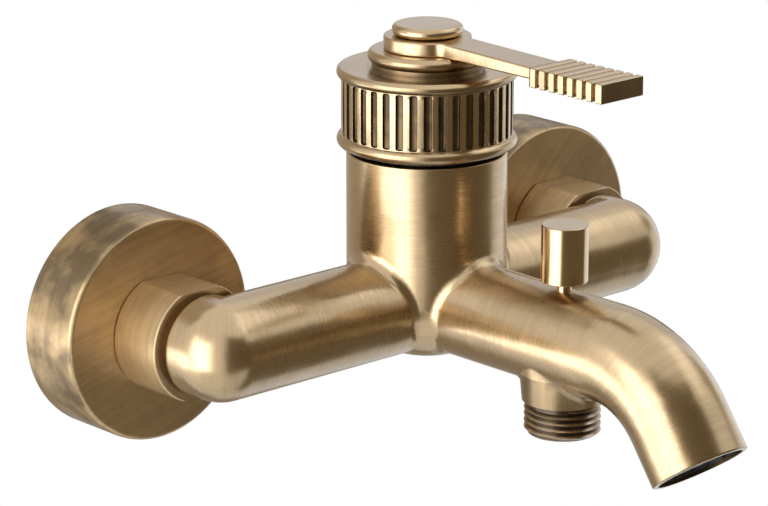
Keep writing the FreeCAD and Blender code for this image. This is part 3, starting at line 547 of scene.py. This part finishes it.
def alongCasting(place, facing, centre):
    # How far along the casting's tubes a place lies, so that the brushing goes round each of them.
    # Each tube counts from a number of its own, so that no two share their strokes.
    x, y, z = place
    side = abs(centre.x)
    if math.hypot(centre.x, centre.y - housingY) < casting["housingReach"]:
        return 500 + z
    if side > casting["armFrom"] and centre.y > casting["armTo"]:
        if side < casting["elbowX"]:
            return 200 + abs(x)
        away = Vector((abs(x) - casting["elbowX"], casting["elbowY"] - y))
        if centre.y > casting["elbowY"]:
            return 300 + y
        turned = math.atan2(away.x, max(away.y, 0.01))
        return 200 + casting["elbowX"] + turned * casting["armRadius"]
    if centre.y < casting["spoutFrom"]:
        if centre.y > casting["bendY"]:
            return -y
        turned = math.atan2(casting["bendY"] - y, z + casting["bendRadius"])
        limit = math.radians(casting["bendAngle"])
        if turned < limit:
            return -casting["bendY"] + turned * casting["bendRadius"]
        past = (casting["bendY"] - y) * math.cos(limit)
        past -= (z + casting["bendRadius"]) * math.sin(limit)
        return -casting["bendY"] + limit * casting["bendRadius"] + past
    return 500 + z


def castingShade(place, facing, centre):
    # Painted shade: dark inside the spout's tip, and on the hose boss, darker towards the wall and
    # towards -X
    nearBoss = math.hypot(centre.x, centre.y - diverterY) < casting["bossReach"]
    if nearBoss and centre.z < casting["bossTop"] and abs(facing.z) < 0.5:
        towardsWall = place[1] - diverterY - place[0]
        return max(0.0, casting["bossShade"] + casting["bossShadeSlope"] * towardsWall)
    limit = math.radians(casting["bendAngle"])
    bendEnd = Vector((0, casting["bendY"] - casting["bendRadius"] * math.sin(limit),
                      casting["bendRadius"] * (math.cos(limit) - 1)))
    along = Vector((0, -math.cos(limit), -math.sin(limit)))
    away = centre - bendEnd
    outward = away - along * away.dot(along)
    facesIn = facing.dot(outward) < -1
    return casting["tipShade"] if centre.y < casting["tipFrom"] and facesIn else 0.0


def evenRim(bm):
    # The rounding at the housing's top as one even band, whose normals run over it smoothly
    slack = 0.01

    def onRim(place):
        away = math.hypot(place.x, place.y - housingY)
        return place.z > casting["rimHeight"] - slack and away > casting["rimRadius"] - slack

    inside = [face for face in bm.faces if all(onRim(vertex.co / mm) for vertex in face.verts)]
    bmesh.ops.delete(bm, geom=inside, context="FACES")
    bmesh.ops.bridge_loops(bm, edges=[edge for edge in bm.edges if len(edge.link_faces) == 1])
    bmesh.ops.recalc_face_normals(bm, faces=bm.faces)


body = skinOf("mixer_body", "mixerCasting", "mixer", "satinBrass",
              alongCasting, evenRim, sharpest=50.0)
# The casting's painted shade: inside the spout's tip and on one side of the hose boss
writeCorners(body.data, "dirtAndShadeLevel", castingShade)


# The covers against the wall: faces brushed in straight strokes, sides brushed round
cover = {"leftStroke": 12.0, "rightStroke": 42.0, "sideShade": 0.7}
for side, sign in (("left", -1), ("right", 1)):
    stroke = math.radians(cover[side + "Stroke"])

    def acrossCover(place, facing, centre, stroke=stroke):
        x, y, z = place
        if abs(facing.y) > 0.75:
            return 100 + z * math.cos(stroke) - x * math.sin(stroke)
        return y

    # Painted shade: the covers' sides are darker than their faces, broken up in patches
    def coverSideShade(place, facing, centre):
        return 0.0 if abs(facing.y) > 0.75 else cover["sideShade"]

    piece = skinOf(side + "_escutcheon", side + "Cover", "mixer", "coverBrass",
                   acrossCover)
    writeCorners(piece.data, "dirtAndShadeLevel", coverSideShade)

    def roundNut(place, facing, centre, middle=sign * inletX):
        x, y, z = place
        if abs(facing.y) > 0.75:
            return 100 + math.hypot(x - middle, z)
        return y

    skinOf(side + "_union_nut", side + "Nut", "mixer", "coverBrass",
           roundNut)


# Pipe threads: each core is cut back to the root, and a ridge is wound on it
thread = {"crest": 10.48, "root": 9.5, "pitch": 1.814, "fadeIn": 0.6}
wallThread = {"turns": 8.0, "start": 13.3, "height": -8.0, "from": -2.01}
hoseThread = {"turns": 4.35, "start": -25.8, "top": -16.99, "coreShade": 0.9, "endShade": 0.2,
              "shadeTop": -17, "shadeLow": -26}


def wallEnd(middle):
    def reshape(bm):
        for vertex in bm.verts:
            x, y, z = vertex.co / mm
            across, up = x - middle, z - wallThread["height"]
            away = math.hypot(across, up)
            if y > wallThread["from"] and abs(away - thread["crest"]) < 0.05:
                shrink = thread["root"] / away
                vertex.co = point(middle + across * shrink, y, wallThread["height"] + up * shrink)
    return reshape


def hoseEnd(bm):
    for vertex in bm.verts:
        x, y, z = vertex.co / mm
        away = math.hypot(x, y - diverterY)
        if z < hoseThread["top"] and away > thread["root"]:
            shrink = (away - (thread["crest"] - thread["root"])) / away
            vertex.co = point(x * shrink, diverterY + (y - diverterY) * shrink, z)


def grooveShade(where, place, turn):
    # Painted shade between the thread's turns: 1 at the root of the thread, 0 at its crest
    across = where[0] - place[0]
    along = where[2] - place[2] if turn[0] else where[1] - place[1]
    share = (thread["crest"] - math.hypot(across, along)) / (thread["crest"] - thread["root"])
    return max(0.0, min(1.0, share)) ** thread["fadeIn"]


def windThread(name, turns, place, turn, finish, rule):
    piece = grown(name, threadCoil, bpy.data.meshes.new(name), finish, Radius=thread["root"] * mm,
                  Depth=(thread["crest"] - thread["root"]) * mm, Pitch=thread["pitch"] * mm,
                  Turns=turns, Place=tuple(place), Turn=turn)
    smoothed(piece.data, 35.0)
    writeCorners(piece.data, "grain", lambda where, facing, centre: rule(where) * mm)
    writeCorners(piece.data, "dirtAndShadeLevel",
                 lambda where, facing, centre: grooveShade(where, place / mm, turn))
    return finished(piece, "mixer", finish)


for side, sign in (("left", -1), ("right", 1)):
    skinOf(side + "_s_union", side + "Union", "mixer", "turnedBrass",
           lambda place, facing, centre: place[1], wallEnd(sign * inletX))
    windThread(side + "WallThread", wallThread["turns"],
               point(sign * inletX, wallThread["start"], wallThread["height"]),
               (math.pi / 2, 0, 0), "turnedBrass", lambda place: place[1])


# Painted shade on the nipple's core between the thread's turns, and a little on its ends
def nippleShade(place, facing, centre):
    onThread = hoseThread["shadeLow"] < centre.z < hoseThread["shadeTop"]
    return hoseThread["coreShade"] if onThread else hoseThread["endShade"]


nipple = skinOf("hose_outlet", "hoseNipple", "mixer", "threadBronze",
                lambda place, facing, centre: place[2], hoseEnd)
writeCorners(nipple.data, "dirtAndShadeLevel", nippleShade)
windThread("hoseThread", hoseThread["turns"], point(0, diverterY, hoseThread["start"]), (0, 0, 0),
           "threadBronze", lambda place: place[2])
print("threads: wound")


# The fluted sleeve under the lever
sleeve = {"inner": 22.0, "bottom": 43.9, "beadTop": 47.4, "fluteTop": 63.2, "top": 66.2,
          "ceiling": 63.4, "rim": 25.05, "land": 23.8, "wall": 22.6, "corner": 0.25,
          "socket": 8.0, "socketHole": 5.75, "socketBottom": 51.4, "screwHole": 2.7,
          "insideShade": 0.9, "skirtShade": (0.35, 0.9), "beadShade": (0.1, 0.5)}
flute = {"count": 38, "width": 2.2, "depth": 1.0, "edge": 0.1, "endGap": 0.15, "rows": 6}
sleeveCentre = point(0, housingY, 0)


def sleeveProfile():
    bead = (sleeve["beadTop"] - sleeve["bottom"]) / 2
    flange = (sleeve["top"] - sleeve["fluteTop"]) / 2
    points = [(sleeve["inner"], sleeve["bottom"] + sleeve["corner"]),
              (sleeve["inner"] + sleeve["corner"], sleeve["bottom"])]
    points += arcPoints((sleeve["rim"] - bead, sleeve["bottom"] + bead), bead, -90, 90, 20)
    points += [(sleeve["wall"], sleeve["beadTop"]), (sleeve["wall"], sleeve["fluteTop"])]
    points += arcPoints((sleeve["rim"] - flange, sleeve["fluteTop"] + flange), flange, -90, 90, 20)
    points += [(sleeve["screwHole"], sleeve["top"]), (sleeve["screwHole"], sleeve["ceiling"]),
               (sleeve["socketHole"], sleeve["ceiling"]),
               (sleeve["socketHole"], sleeve["socketBottom"]),
               (sleeve["socket"], sleeve["socketBottom"]), (sleeve["socket"], sleeve["ceiling"]),
               (sleeve["inner"], sleeve["ceiling"])]
    return points


def upright(place, facing, centre):
    x, y, z = place
    if abs(facing.z) > 0.8:
        return math.hypot(x, y - housingY)
    return 100 + z


def under(place, facing, centre):
    # Painted shade: dark inside, on the sides and, most, on faces that look down
    most = sleeve["insideShade"]
    away = math.hypot(centre.x, centre.y - housingY)
    if away < sleeve["inner"] and centre.z < sleeve["ceiling"] + 0.1:
        return most
    level, slope = sleeve["skirtShade"] if centre.z > sleeve["beadTop"] else sleeve["beadShade"]
    return max(0.0, min(most, level - slope * facing.z))


def uprightGrain(place, facing, centre):
    return upright(place, facing, centre) * mm


shellMesh = latheMesh("sleeveShell", sleeveProfile(), sleeveCentre, segments=224)
smoothed(shellMesh, 50.0)
writeCorners(shellMesh, "grain", uprightGrain)
writeCorners(shellMesh, "dirtAndShadeLevel", under)
finished(linked("sleeveShell", shellMesh), "handle", "satinBrass",
         ("fluted_sleeve",))


def fluteTile():
    # One slot with nearly square ends and half a land on each side, as nested outlines on the drum
    half = math.pi * sleeve["land"] / flute["count"]
    low, high = sleeve["beadTop"], sleeve["fluteTop"]
    radius = flute["width"] / 2
    footZ, headZ = low + flute["endGap"] + radius, high - flute["endGap"] - radius
    corner = math.degrees(math.atan2(high - headZ, half))
    turns = sorted([8, 20, corner, 48, 62, 76, 90, 104, 118, 132, 180 - corner, 160, 172, 0, 180])
    rows = flute["rows"]
    stations = []
    for angle in turns:
        stations.append(("head", math.radians(angle), headZ))
    for i in range(1, rows):
        stations.append(("left", 0, headZ + (footZ - headZ) * i / rows))
    for angle in turns:
        stations.append(("foot", math.radians(180 + angle), footZ))
    for i in range(1, rows):
        stations.append(("right", 0, footZ + (headZ - footZ) * i / rows))

    def outline(width):
        ring = []
        for place, angle, z in stations:
            if place in ("head", "foot"):
                across, along = math.cos(angle), math.sin(angle)  # their roots square the ends
                ring.append((width * math.copysign(abs(across) ** 0.5, across),
                             z + width * math.copysign(abs(along) ** 0.5, along)))
            else:
                ring.append((-width if place == "left" else width, z))
        return ring

    def frameRing():
        ring = []
        for place, angle, z in stations:
            if place in ("left", "right"):
                ring.append((-half if place == "left" else half, z))
                continue
            reach = (high - headZ) / max(abs(math.sin(angle)), 1e-9)
            reach = min(reach, half / max(abs(math.cos(angle)), 1e-9))
            ring.append((reach * math.cos(angle), z + reach * math.sin(angle)))
        return ring

    edge, depth = flute["edge"], flute["depth"]
    levels = [  # an outline, how deep it lies and how dirty it is
        (frameRing(), 0.0, 0.0),
        (outline(radius + edge), 0.0, 0.0),
        (outline(radius + edge * 0.3), edge * 0.3, 0.0),
        (outline(radius), edge, 0.75),
        (outline(radius * 0.99), depth * 0.4, 1.0),
        (outline(radius * 0.9), depth * 0.78, 1.0),
        (outline(radius * 0.62), depth * 0.95, 0.98),
        (outline(radius * 0.3), depth, 0.95),
    ]
    bm = bmesh.new()
    dirtAndShadeLevel = bm.verts.layers.float.new("dirtAndShadeLevel")
    made = []
    for ring, sunk, dirtAndShade in levels:
        corners = []
        for across, z in ring:
            angle = across / sleeve["land"]
            away = sleeve["land"] - sunk
            vertex = bm.verts.new(point(away * math.cos(angle), away * math.sin(angle), z))
            vertex[dirtAndShadeLevel] = dirtAndShade
            corners.append(vertex)
        made.append(corners)
    count = len(stations)
    for outer, inner in zip(made, made[1:]):
        for i in range(count):
            j = (i + 1) % count
            bm.faces.new((outer[i], outer[j], inner[j], inner[i]))
    last = made[-1]
    middle = len(turns) // 2
    for i in range(middle + rows + middle):  # the floor, in strips from side to side
        corners = []
        for station in (middle + i, middle + i + 1, middle - i - 1, middle - i):
            if last[station % count] not in corners:
                corners.append(last[station % count])
        if len(corners) > 2:
            bm.faces.new(corners)
    bmesh.ops.remove_doubles(bm, verts=bm.verts, dist=1e-7)
    bmesh.ops.recalc_face_normals(bm, faces=bm.faces)
    if sum(face.normal.x * face.calc_area() for face in bm.faces) < 0:
        bmesh.ops.reverse_faces(bm, faces=bm.faces)
    mesh = bpy.data.meshes.new("fluteTile")
    bm.to_mesh(mesh)
    bm.free()
    return mesh


fluteRing = grown("fluteRing", roundPattern, fluteTile(), "satinBrass", Count=flute["count"],
                  Centre=tuple(sleeveCentre))
bm = bmesh.new()
bm.from_mesh(fluteRing.data)
bmesh.ops.remove_doubles(bm, verts=bm.verts, dist=5e-6)
for height, shift in ((sleeve["beadTop"], -0.2), (sleeve["fluteTop"], 0.2)):  # a lip at each end
    rim = [edge for edge in bm.edges if len(edge.link_faces) == 1
           and all(abs(vertex.co.z - height * mm) < 1e-5 for vertex in edge.verts)]
    for reach, drop in ((0.0, shift), (-1.5, 0.0)):
        grownEdges = bmesh.ops.extrude_edge_only(bm, edges=rim)["geom"]
        for vertex in (item for item in grownEdges if isinstance(item, bmesh.types.BMVert)):
            outward = Vector((vertex.co.x, vertex.co.y - sleeveCentre.y, 0)).normalized()
            vertex.co += outward * reach * mm + Vector((0, 0, drop * mm))
        rim = [item for item in grownEdges if isinstance(item, bmesh.types.BMEdge)
               and len(item.link_faces) == 1]
inside = [edge for edge in bm.edges if len(edge.link_faces) == 1]
bmesh.ops.bridge_loops(bm, edges=inside)
bmesh.ops.recalc_face_normals(bm, faces=bm.faces)
bm.to_mesh(fluteRing.data)
bm.free()
smoothed(fluteRing.data, 38.0)
writeCorners(fluteRing.data, "grain", uprightGrain)
finished(fluteRing, "handle", "satinBrass")
print("sleeve:", flute["count"], "flutes,", len(fluteRing.data.polygons), "faces")

# Painted shade on the step ring under the collar, darkest at its foot
step = {"foot": 67.3, "footShade": 0.82, "dirtAndShade": 0.5}
stepRing = skinOf("step_ring", "stepRing", "handle", "satinBrass", upright)
writeCorners(stepRing.data, "dirtAndShadeLevel", lambda place, facing, centre:
             step["footShade"] if place[2] < step["foot"] else step["dirtAndShade"])
collar = skinOf("collar_disc", "collarDisc", "handle", "satinBrass",
                upright)
# The collar disc gets the same painted shade, most on its underside
writeCorners(collar.data, "dirtAndShadeLevel", under)
skinOf("lever_cap", "capDisc", "handle", "satinBrass", upright)


# The lever: hub and arm from the CAD, and a grip with its ribs
grip = {"start": 47.6, "length": 26.5, "halfWidth": 7.85, "low": 69.6, "high": 74.9, "ribs": 8,
        "groove": 0.95, "depth": 0.75, "corner": 0.3, "dirtAndShade": 0.14, "endShade": 0.55, "hub": 13}


def dropGrip(bm):
    behind = (housingY - grip["start"]) * mm
    far = [face for face in bm.faces if face.calc_center_median().y < behind - 1e-5]
    bmesh.ops.delete(bm, geom=far, context="FACES")
    loose = [edge for edge in bm.edges if len(edge.link_faces) == 1]
    bmesh.ops.holes_fill(bm, edges=loose)
    bmesh.ops.recalc_face_normals(bm, faces=bm.faces)


def acrossLever(place, facing, centre):
    x, y, z = place
    if math.hypot(centre.x, centre.y - housingY) < grip["hub"]:
        return upright(place, facing, centre)
    return 200 + y


skinOf("lever", "leverPlate", "handle", "satinBrass", acrossLever,
       dropGrip)


def roundedOutline(inset, steps=4):
    half, corner = grip["halfWidth"] - inset, grip["corner"]
    low, high = grip["low"] + inset, grip["high"] - inset
    points = []
    for x, z, start in ((half - corner, high - corner, 0), (corner - half, high - corner, 90),
                        (corner - half, low + corner, 180), (half - corner, low + corner, 270)):
        points += arcPoints((x, z), corner, start, start + 90, steps)
    return points


def blockFromRings(name, rings):
    bm = bmesh.new()
    dirtAndShade = bm.verts.layers.float.new("dirtAndShadeLevel")
    made = []
    for y, inset, dirtAndShadeLevel in rings:
        ring = [bm.verts.new(point(x, y, z)) for x, z in roundedOutline(inset)]
        for vertex in ring:
            vertex[dirtAndShade] = dirtAndShadeLevel
        made.append(ring)
    for near, far in zip(made, made[1:]):
        for i in range(len(near)):
            j = (i + 1) % len(near)
            bm.faces.new((near[i], near[j], far[j], far[i]))
    bm.faces.new(made[0])
    bm.faces.new(list(reversed(made[-1])))
    bmesh.ops.recalc_face_normals(bm, faces=bm.faces)
    mesh = bpy.data.meshes.new(name)
    bm.to_mesh(mesh)
    bm.free()
    return mesh


ribPitch = (grip["length"] + grip["groove"]) / grip["ribs"]
ribLength = ribPitch - grip["groove"]


def ribFlank(edge, way):
    # Sections from the bottom of a groove out to the top of a rib, each with its painted shade, darkest
    # at the groove's bottom
    return [(edge, grip["depth"] + 0.1, grip["dirtAndShade"]),
            (edge + way * 0.04, grip["depth"] * 0.6, grip["dirtAndShade"] * 0.6),
            (edge + way * 0.14, 0.16, 0.1),
            (edge + way * 0.34, 0.0, 0.0)]


def acrossGrip(place, facing, centre):
    return (place[1] if abs(facing.y) < 0.7 else place[0]) * mm


ribTile = blockFromRings("gripRib", ribFlank(0, -1) + list(reversed(ribFlank(-ribLength, 1))))
gripRibs = grown("gripRibs", rowPattern, ribTile, "satinBrass", Count=grip["ribs"] - 1,
                 Start=tuple(point(0, housingY - grip["start"], 0)),
                 Step=tuple(point(0, -ribPitch, 0)))
smoothed(gripRibs.data, 35.0)
writeCorners(gripRibs.data, "grain", acrossGrip)
finished(gripRibs, "handle", "satinBrass")
gripEnd = housingY - grip["start"] - grip["length"]
coreRings = [(housingY - grip["start"] - 0.3, grip["depth"], grip["dirtAndShade"])]
coreRings += ribFlank(gripEnd + ribLength, -1)
# The grip's end face gets painted shade
coreRings += [(gripEnd + 0.1, 0.0, 0.0), (gripEnd, 0.1, 0.0), (gripEnd, 0.14, grip["endShade"])]
coreMesh = blockFromRings("gripCore", coreRings)
smoothed(coreMesh, 35.0)
writeCorners(coreMesh, "grain", acrossGrip)
finished(linked("gripCore", coreMesh), "handle", "satinBrass")


# The diverter's knob and stem
def roundKnob(place, facing, centre):
    x, y, z = place
    if abs(facing.z) > 0.8:
        return math.hypot(x, y - diverterY)
    return 100 + z


skinOf("diverter_knob", "diverterKnob", "diverter", "turnedBrass",
       roundKnob)
skinOf("diverter_stem", "diverterStem", "diverter", "turnedBrass", roundKnob)
print("pieces: made")

# Every CAD node that still shows gets the finish of its own slot
slotOf = {part["node"]: part["material_slot"] for part in frame["record"]["subparts"]}
for name, node in nodes.items():
    if not node.hide_render:
        finish = finishes[slotOf[name]]
        node.data.materials.clear()
        node.data.materials.append(finish)


# Studio
studio = {"camera": (-0.64997, -0.73747, 0.28895), "aim": (-0.03016, -0.060, 0.02154),
          "lens": 166.1, "middle": (0.0, -0.07, 0.02), "room": 0.75, "roomColour": (0.95, 0.96, 1.0),
          "white": 1.0, "floorDepth": -0.45, "floorRadius": 0.85, "floorColour": (0.8, 0.8, 0.79),
          "floorRough": 0.85}


def aimed(thing, place, aim):
    thing.location = place
    thing.rotation_mode = "QUATERNION"
    thing.rotation_quaternion = (Vector(aim) - Vector(place)).to_track_quat("-Z", "Y")
    return thing


camera = bpy.data.objects.new("camera", bpy.data.cameras.new("camera"))
bpy.context.scene.collection.objects.link(camera)
camera.data.lens = studio["lens"]
camera.data.clip_start, camera.data.clip_end = 0.01, 20
aimed(camera, studio["camera"], studio["aim"])
bpy.context.scene.camera = camera

world = bpy.data.worlds.new("studio")
world.use_nodes = True
bpy.context.scene.world = world
tree = world.node_tree
tree.nodes.clear()
path = tree.nodes.new("ShaderNodeLightPath")
seen = mathNode(tree, "MAXIMUM", path.outputs["Is Camera Ray"], path.outputs["Is Glossy Ray"])
seen = mathNode(tree, "MAXIMUM", seen, path.outputs["Is Transmission Ray"])
room = tree.nodes.new("ShaderNodeBackground")
room.inputs["Color"].default_value = (*studio["roomColour"], 1)
room.inputs["Strength"].default_value = studio["room"]
white = tree.nodes.new("ShaderNodeBackground")
white.inputs["Color"].default_value = (1, 1, 1, 1)
white.inputs["Strength"].default_value = studio["white"]
choice = tree.nodes.new("ShaderNodeMixShader")
tree.links.new(seen, choice.inputs[0])
tree.links.new(room.outputs[0], choice.inputs[1])
tree.links.new(white.outputs[0], choice.inputs[2])
result = tree.nodes.new("ShaderNodeOutputWorld")
tree.links.new(choice.outputs[0], result.inputs["Surface"])

# Soft lamps: bearing is counted round from +X, tilt above the horizon
lamps = {
    "sideSoftbox": {"bearing": 180, "tilt": -3, "away": 1.1, "size": (0.86, 1.25), "level": 3.2},
    "wallSoftbox": {"bearing": 140, "tilt": -12, "away": 1.2, "size": (0.62, 0.8), "level": 2.0},
    "topSoftbox": {"bearing": 338, "tilt": 50, "away": 1.3, "size": (0.9, 0.6), "level": 1.5},
}


def towards(bearing, tilt, away):
    about, up = math.radians(bearing), math.radians(tilt)
    way = Vector((math.cos(about) * math.cos(up), math.sin(about) * math.cos(up), math.sin(up)))
    return Vector(studio["middle"]) + way * away


for name, lamp in lamps.items():
    light = bpy.data.lights.new(name, "AREA")
    light.shape = "RECTANGLE"
    light.size, light.size_y = lamp["size"]
    light.energy = lamp["level"] * math.pi * lamp["size"][0] * lamp["size"][1]
    thing = bpy.data.objects.new(name, light)
    thing.visible_glossy = False
    bpy.context.scene.collection.objects.link(thing)
    aimed(thing, towards(lamp["bearing"], lamp["tilt"], lamp["away"]), studio["middle"])

# What the metal mirrors: the same lamps with soft edges, and dark studio flags. The corners are
# bearings and tilts, counter-clockwise; "soft" is the width of the fading edge in degrees.
cards = {
    "sideCard": {"corners": ((150, -46), (211, -46), (211, 38), (150, 38)), "away": 1.1, "soft": 15,
                 "glow": (3.7, 3.7, 3.75)},
    "wallCard": {"corners": ((125, -31), (158, -31), (158, -1), (125, -1)), "away": 1.2, "soft": 9,
                 "glow": (3.8, 3.8, 3.8)},
    "topCard": {"corners": ((304, 34), (372, 34), (372, 66), (304, 66)), "away": 1.3, "soft": 8,
                "glow": (1.6, 1.6, 1.6)},
    "nearFlag": {"corners": ((212, -42), (285, -42), (285, 44), (212, 44)), "away": 0.2, "soft": 9,
                 "glow": (0.165, 0.128, 0.08)},
    "frontFlag": {"corners": ((248, -60), (338, -60), (338, 13), (262, 43), (248, 43)), "away": 1.5,
                  "soft": 8, "glow": (0.165, 0.128, 0.08)},
    "cornerFlag": {"corners": ((334, 6), (368, 6), (368, 34), (334, 34)), "away": 1.46, "soft": 8,
                   "glow": (0.45, 0.4, 0.33)},
    "wallFlag": {"corners": ((58, -44), (124, -44), (124, 54), (58, 54)), "away": 1.5, "soft": 8,
                 "glow": (0.47, 0.4, 0.31)},
    "edgeFlag": {"corners": ((24, -44), (66, -44), (66, 8), (24, 8)), "away": 1.54, "soft": 7,
                 "glow": (0.2, 0.155, 0.1)},
    "backFlag": {"corners": ((12, 0), (66, 0), (66, 40), (12, 40)), "away": 1.58, "soft": 7,
                 "glow": (0.68, 0.66, 0.65)},
    "tableFlag": {"corners": ((284, -84), (347, -84), (347, -24), (284, -24)), "away": 0.46, "soft": 10,
                  "glow": (0.165, 0.128, 0.08)},
    "wallTable": {"corners": ((40, -72), (124, -72), (124, -30), (40, -30)), "away": 0.46, "soft": 8,
                  "glow": (0.3, 0.25, 0.19)},
    "tableCard": {"corners": ((168, -72), (238, -72), (238, -24), (168, -24)), "away": 0.46, "soft": 9,
                  "glow": (0.95, 0.95, 0.95)},
}


def edgeGap(corners, bearing, tilt):
    # How far inside the outline a place lies
    gaps = []
    for (a, b), (c, d) in zip(corners, corners[1:] + corners[:1]):
        gaps.append(((c - a) * (tilt - b) - (d - b) * (bearing - a)) / math.hypot(c - a, d - b))
    return min(gaps)


def makeCard(name, card):
    bearings, tilts = zip(*card["corners"])
    across, up = (math.ceil((max(values) - min(values)) / 2) for values in (bearings, tilts))
    bm = bmesh.new()
    fade = bm.verts.layers.float.new("fade")
    rows = []
    for i in range(across + 1):
        row = []
        for j in range(up + 1):
            bearing = min(bearings) + (max(bearings) - min(bearings)) * i / across
            tilt = min(tilts) + (max(tilts) - min(tilts)) * j / up
            vertex = bm.verts.new(towards(bearing, tilt, card["away"]))
            share = max(0.0, min(1.0, edgeGap(card["corners"], bearing, tilt) / card["soft"]))
            vertex[fade] = share * share * (3 - 2 * share)
            row.append(vertex)
        rows.append(row)
    for i in range(across):
        for j in range(up):
            bm.faces.new((rows[i][j], rows[i + 1][j], rows[i + 1][j + 1], rows[i][j + 1]))
    mesh = bpy.data.meshes.new(name)
    bm.to_mesh(mesh)
    bm.free()
    thing = linked(name, mesh)
    material = bpy.data.materials.new(name)
    material.use_nodes = True
    tree = material.node_tree
    tree.nodes.clear()
    strength = tree.nodes.new("ShaderNodeAttribute")
    strength.attribute_name = "fade"
    clear = tree.nodes.new("ShaderNodeBsdfTransparent")
    glow = tree.nodes.new("ShaderNodeEmission")
    glow.inputs["Color"].default_value = (*card["glow"], 1)
    mixed = tree.nodes.new("ShaderNodeMixShader")
    out = tree.nodes.new("ShaderNodeOutputMaterial")
    wire(tree, strength, "Fac", mixed, "Fac")
    tree.links.new(clear.outputs[0], mixed.inputs[1])
    tree.links.new(glow.outputs[0], mixed.inputs[2])
    tree.links.new(mixed.outputs[0], out.inputs["Surface"])
    mesh.materials.append(material)
    thing.visible_camera = False
    thing.visible_diffuse = False
    thing.visible_shadow = False


for name, card in cards.items():
    makeCard(name, card)

floorMesh = bpy.data.meshes.new("floor")
bm = bmesh.new()
bmesh.ops.create_circle(bm, cap_ends=True, segments=96, radius=studio["floorRadius"])
bmesh.ops.translate(bm, verts=bm.verts, vec=(0, studio["middle"][1], studio["floorDepth"]))
bm.to_mesh(floorMesh)
bm.free()
floor = linked("floor", floorMesh)
material, tree, shader, place = startMaterial("floorPaper")
shader.inputs["Base Color"].default_value = (*studio["floorColour"], 1)
shader.inputs["Roughness"].default_value = studio["floorRough"]
floorMesh.materials.append(material)

bpy.context.scene.view_settings.view_transform = "Standard"
